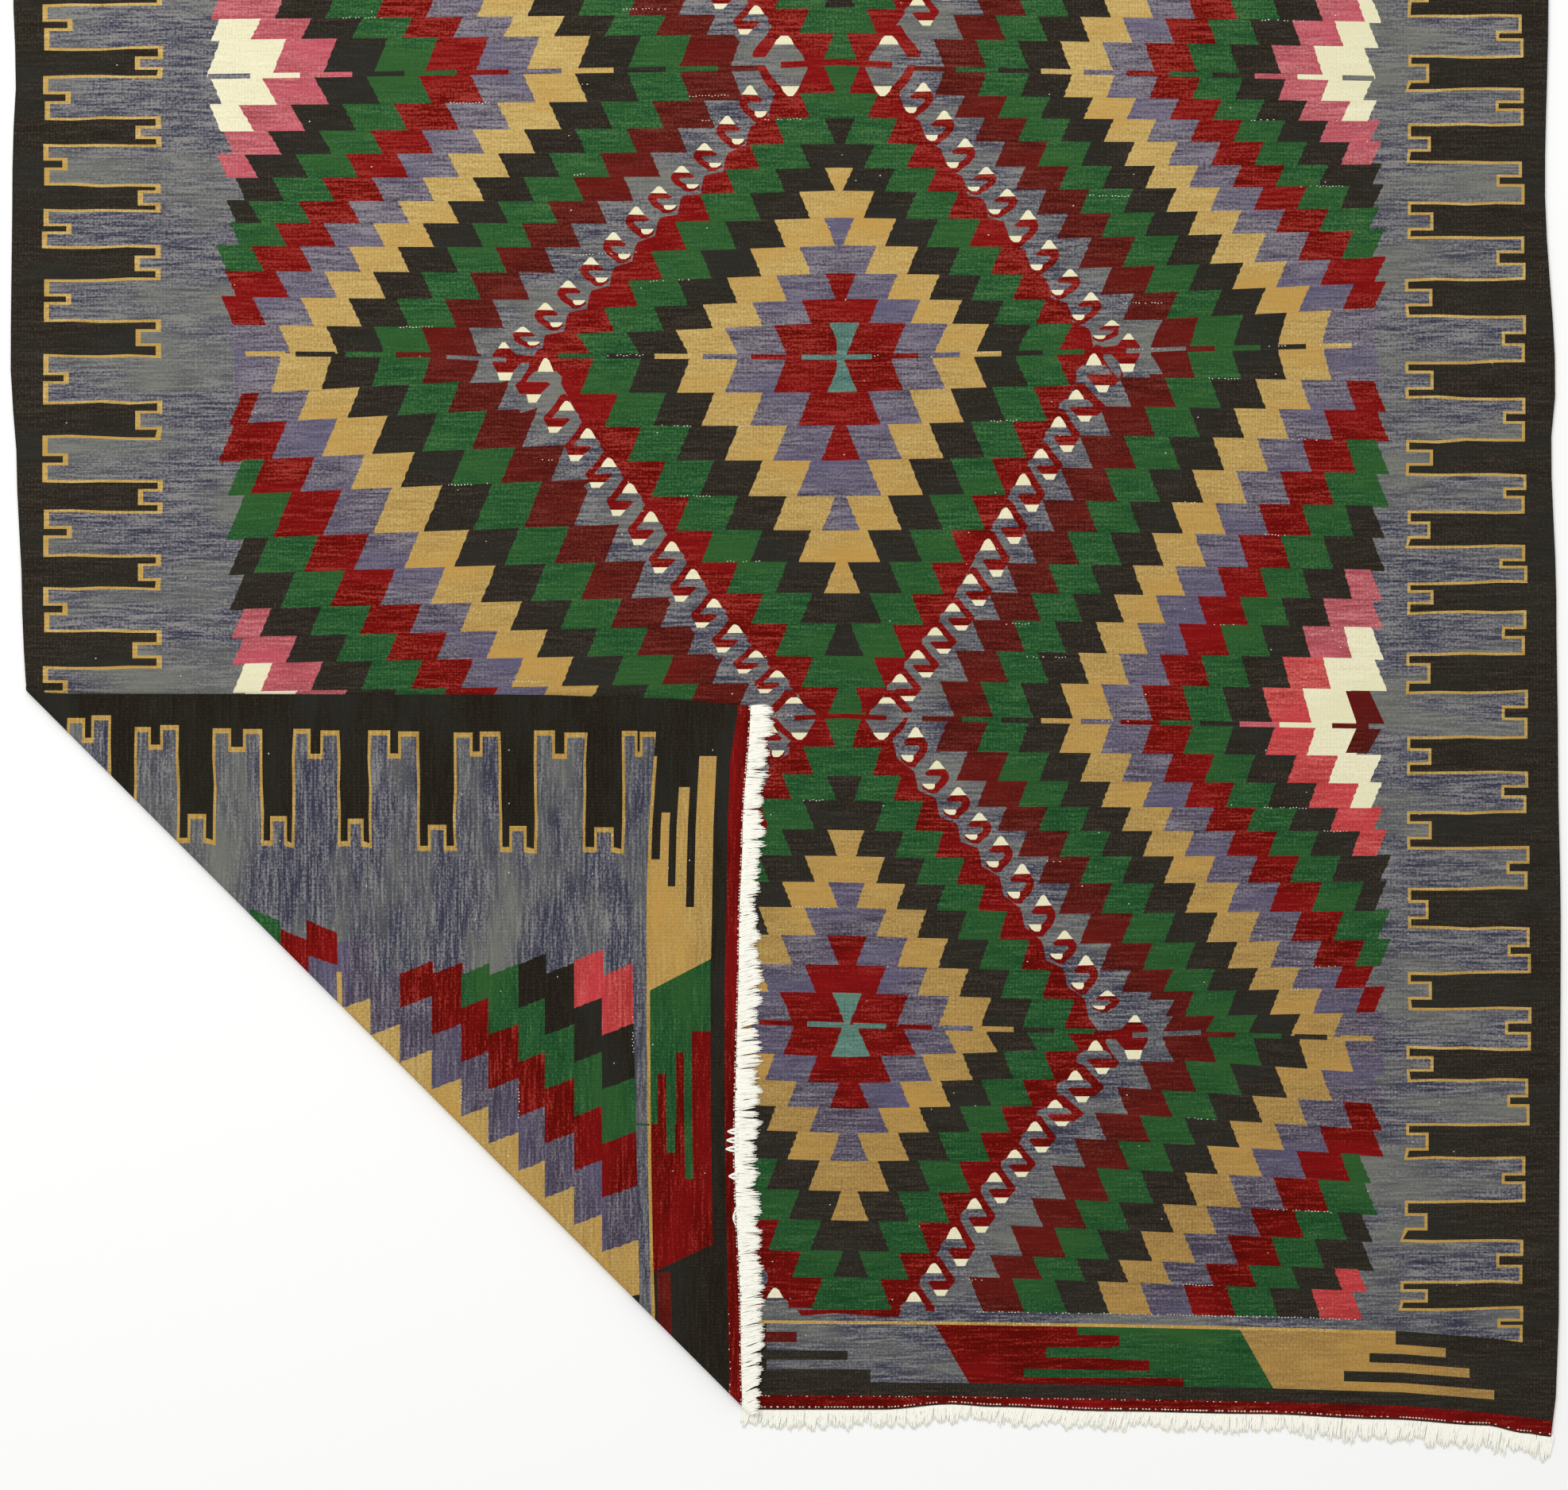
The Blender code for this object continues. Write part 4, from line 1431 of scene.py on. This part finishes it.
def cotton_material():
    """Cotton warp ends: each strand has a tone of its own."""
    material, tree = new_material("cotton_warp_ends")
    tone = attribute(tree, "tone", "Fac")
    fibres = noise(tree, add_node(tree, "ShaderNodeTexCoord", {}).outputs["Object"], FIBRES)
    mixed = weighted(tree, ((tone, STRAND_TONES), (fibres, FIBRES.weight)), COTTON_BASE)
    base = ramp(tree, mixed, (0.0, COTTON_DARK), (1.0, COTTON_LIGHT))
    normal = bump(tree, fibres, COTTON_RELIEF, COTTON_BUMP)
    finish_shader(tree, {"Base Color": base, "Roughness": YARN_ROUGHNESS, "Normal": normal})
    return material


def floor_material():
    material, tree = new_material("pale_floor")
    finish_shader(tree, {"Base Color": FLOOR_WHITE, "Roughness": FLOOR_ROUGHNESS})
    return material


# ---- Camera, light and floor ----

# The camera looks straight down. The view's width is that of the cloth's face, so the scale is the chart's.
VIEW_WIDTH = 1974 * CHART_UNIT
VIEW_MIDDLE = from_chart(987, 938)
LENS = 85  # mm
FILM_WIDTH = 36  # mm
FLOOR_HALF = 12  # metres from its middle to its sides
FLOOR_DROP = 0.4 * MM  # below the rug
SKY_STRENGTH = 0.78
LIGHT_AT = Vector((-1.8, 2.2, 3.6))
LIGHT_SIZE = 3.0
LIGHT_POWER = 100  # watts


def add_camera():
    data = bpy.data.cameras.new("camera")
    data.lens = LENS
    data.sensor_width = FILM_WIDTH
    data.clip_end = 100
    camera = add_object("camera", data)
    distance = VIEW_WIDTH * LENS / FILM_WIDTH
    camera.location = Vector((*VIEW_MIDDLE, THICKNESS + distance)) + SHIFT
    bpy.context.scene.camera = camera


def add_floor():
    mesh = bpy.data.meshes.new("floor")
    corners = [(x * FLOOR_HALF, y * FLOOR_HALF, 0) for x, y in ((-1, -1), (1, -1), (1, 1), (-1, 1))]
    mesh.from_pydata(corners, [], [(0, 1, 2, 3)])
    mesh.materials.append(floor_material())
    floor = add_object("floor", mesh)
    floor.location.z = -FLOOR_DROP


def add_light():
    world = bpy.data.worlds.new("studio")
    world.use_nodes = True
    sky = {"Color": (1.0, 1.0, 1.0, 1), "Strength": SKY_STRENGTH}
    feed(world.node_tree, world.node_tree.nodes["Background"], sky)
    bpy.context.scene.world = world
    data = bpy.data.lights.new("softbox", "AREA")
    data.shape = "RECTANGLE"
    data.size = LIGHT_SIZE
    data.size_y = LIGHT_SIZE
    data.energy = LIGHT_POWER
    light = add_object("softbox", data)
    light.location = LIGHT_AT
    light.rotation_euler = LIGHT_AT.to_track_quat("Z", "Y").to_euler()
    bpy.context.scene.view_settings.view_transform = "Standard"


def main():
    materials = {name: wool_material(name, yarn) for name, yarn in YARNS.items()}
    cotton = cotton_material()
    rug = build_rug(materials)
    left, right = NEAR_END[0][0] * MM, NEAR_END[-1][0] * MM
    flat_span = (FOLD_SUM - CORNER_FAN, right)
    flap_span = (left, FOLD_SUM + CORNER_FAN)
    far_span = (FAR_END[0][0] * MM, FAR_END[-1][0] * MM)
    near = build_fringe("near_fringe", NEAR_ENDING, flat_span, 3, cotton)
    flap = build_fringe("flap_fringe", NEAR_ENDING, flap_span, 5, cotton, on_flap=True)
    far = build_fringe("far_fringe", FAR_ENDING, far_span, 7, cotton)
    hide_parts("rug_body")
    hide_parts("fringe_near")
    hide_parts("fringe_flap")
    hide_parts("fringe_far")
    for piece in (rug, near, flap, far):
        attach(piece, "root")
    add_floor()
    add_light()
    add_camera()


main()
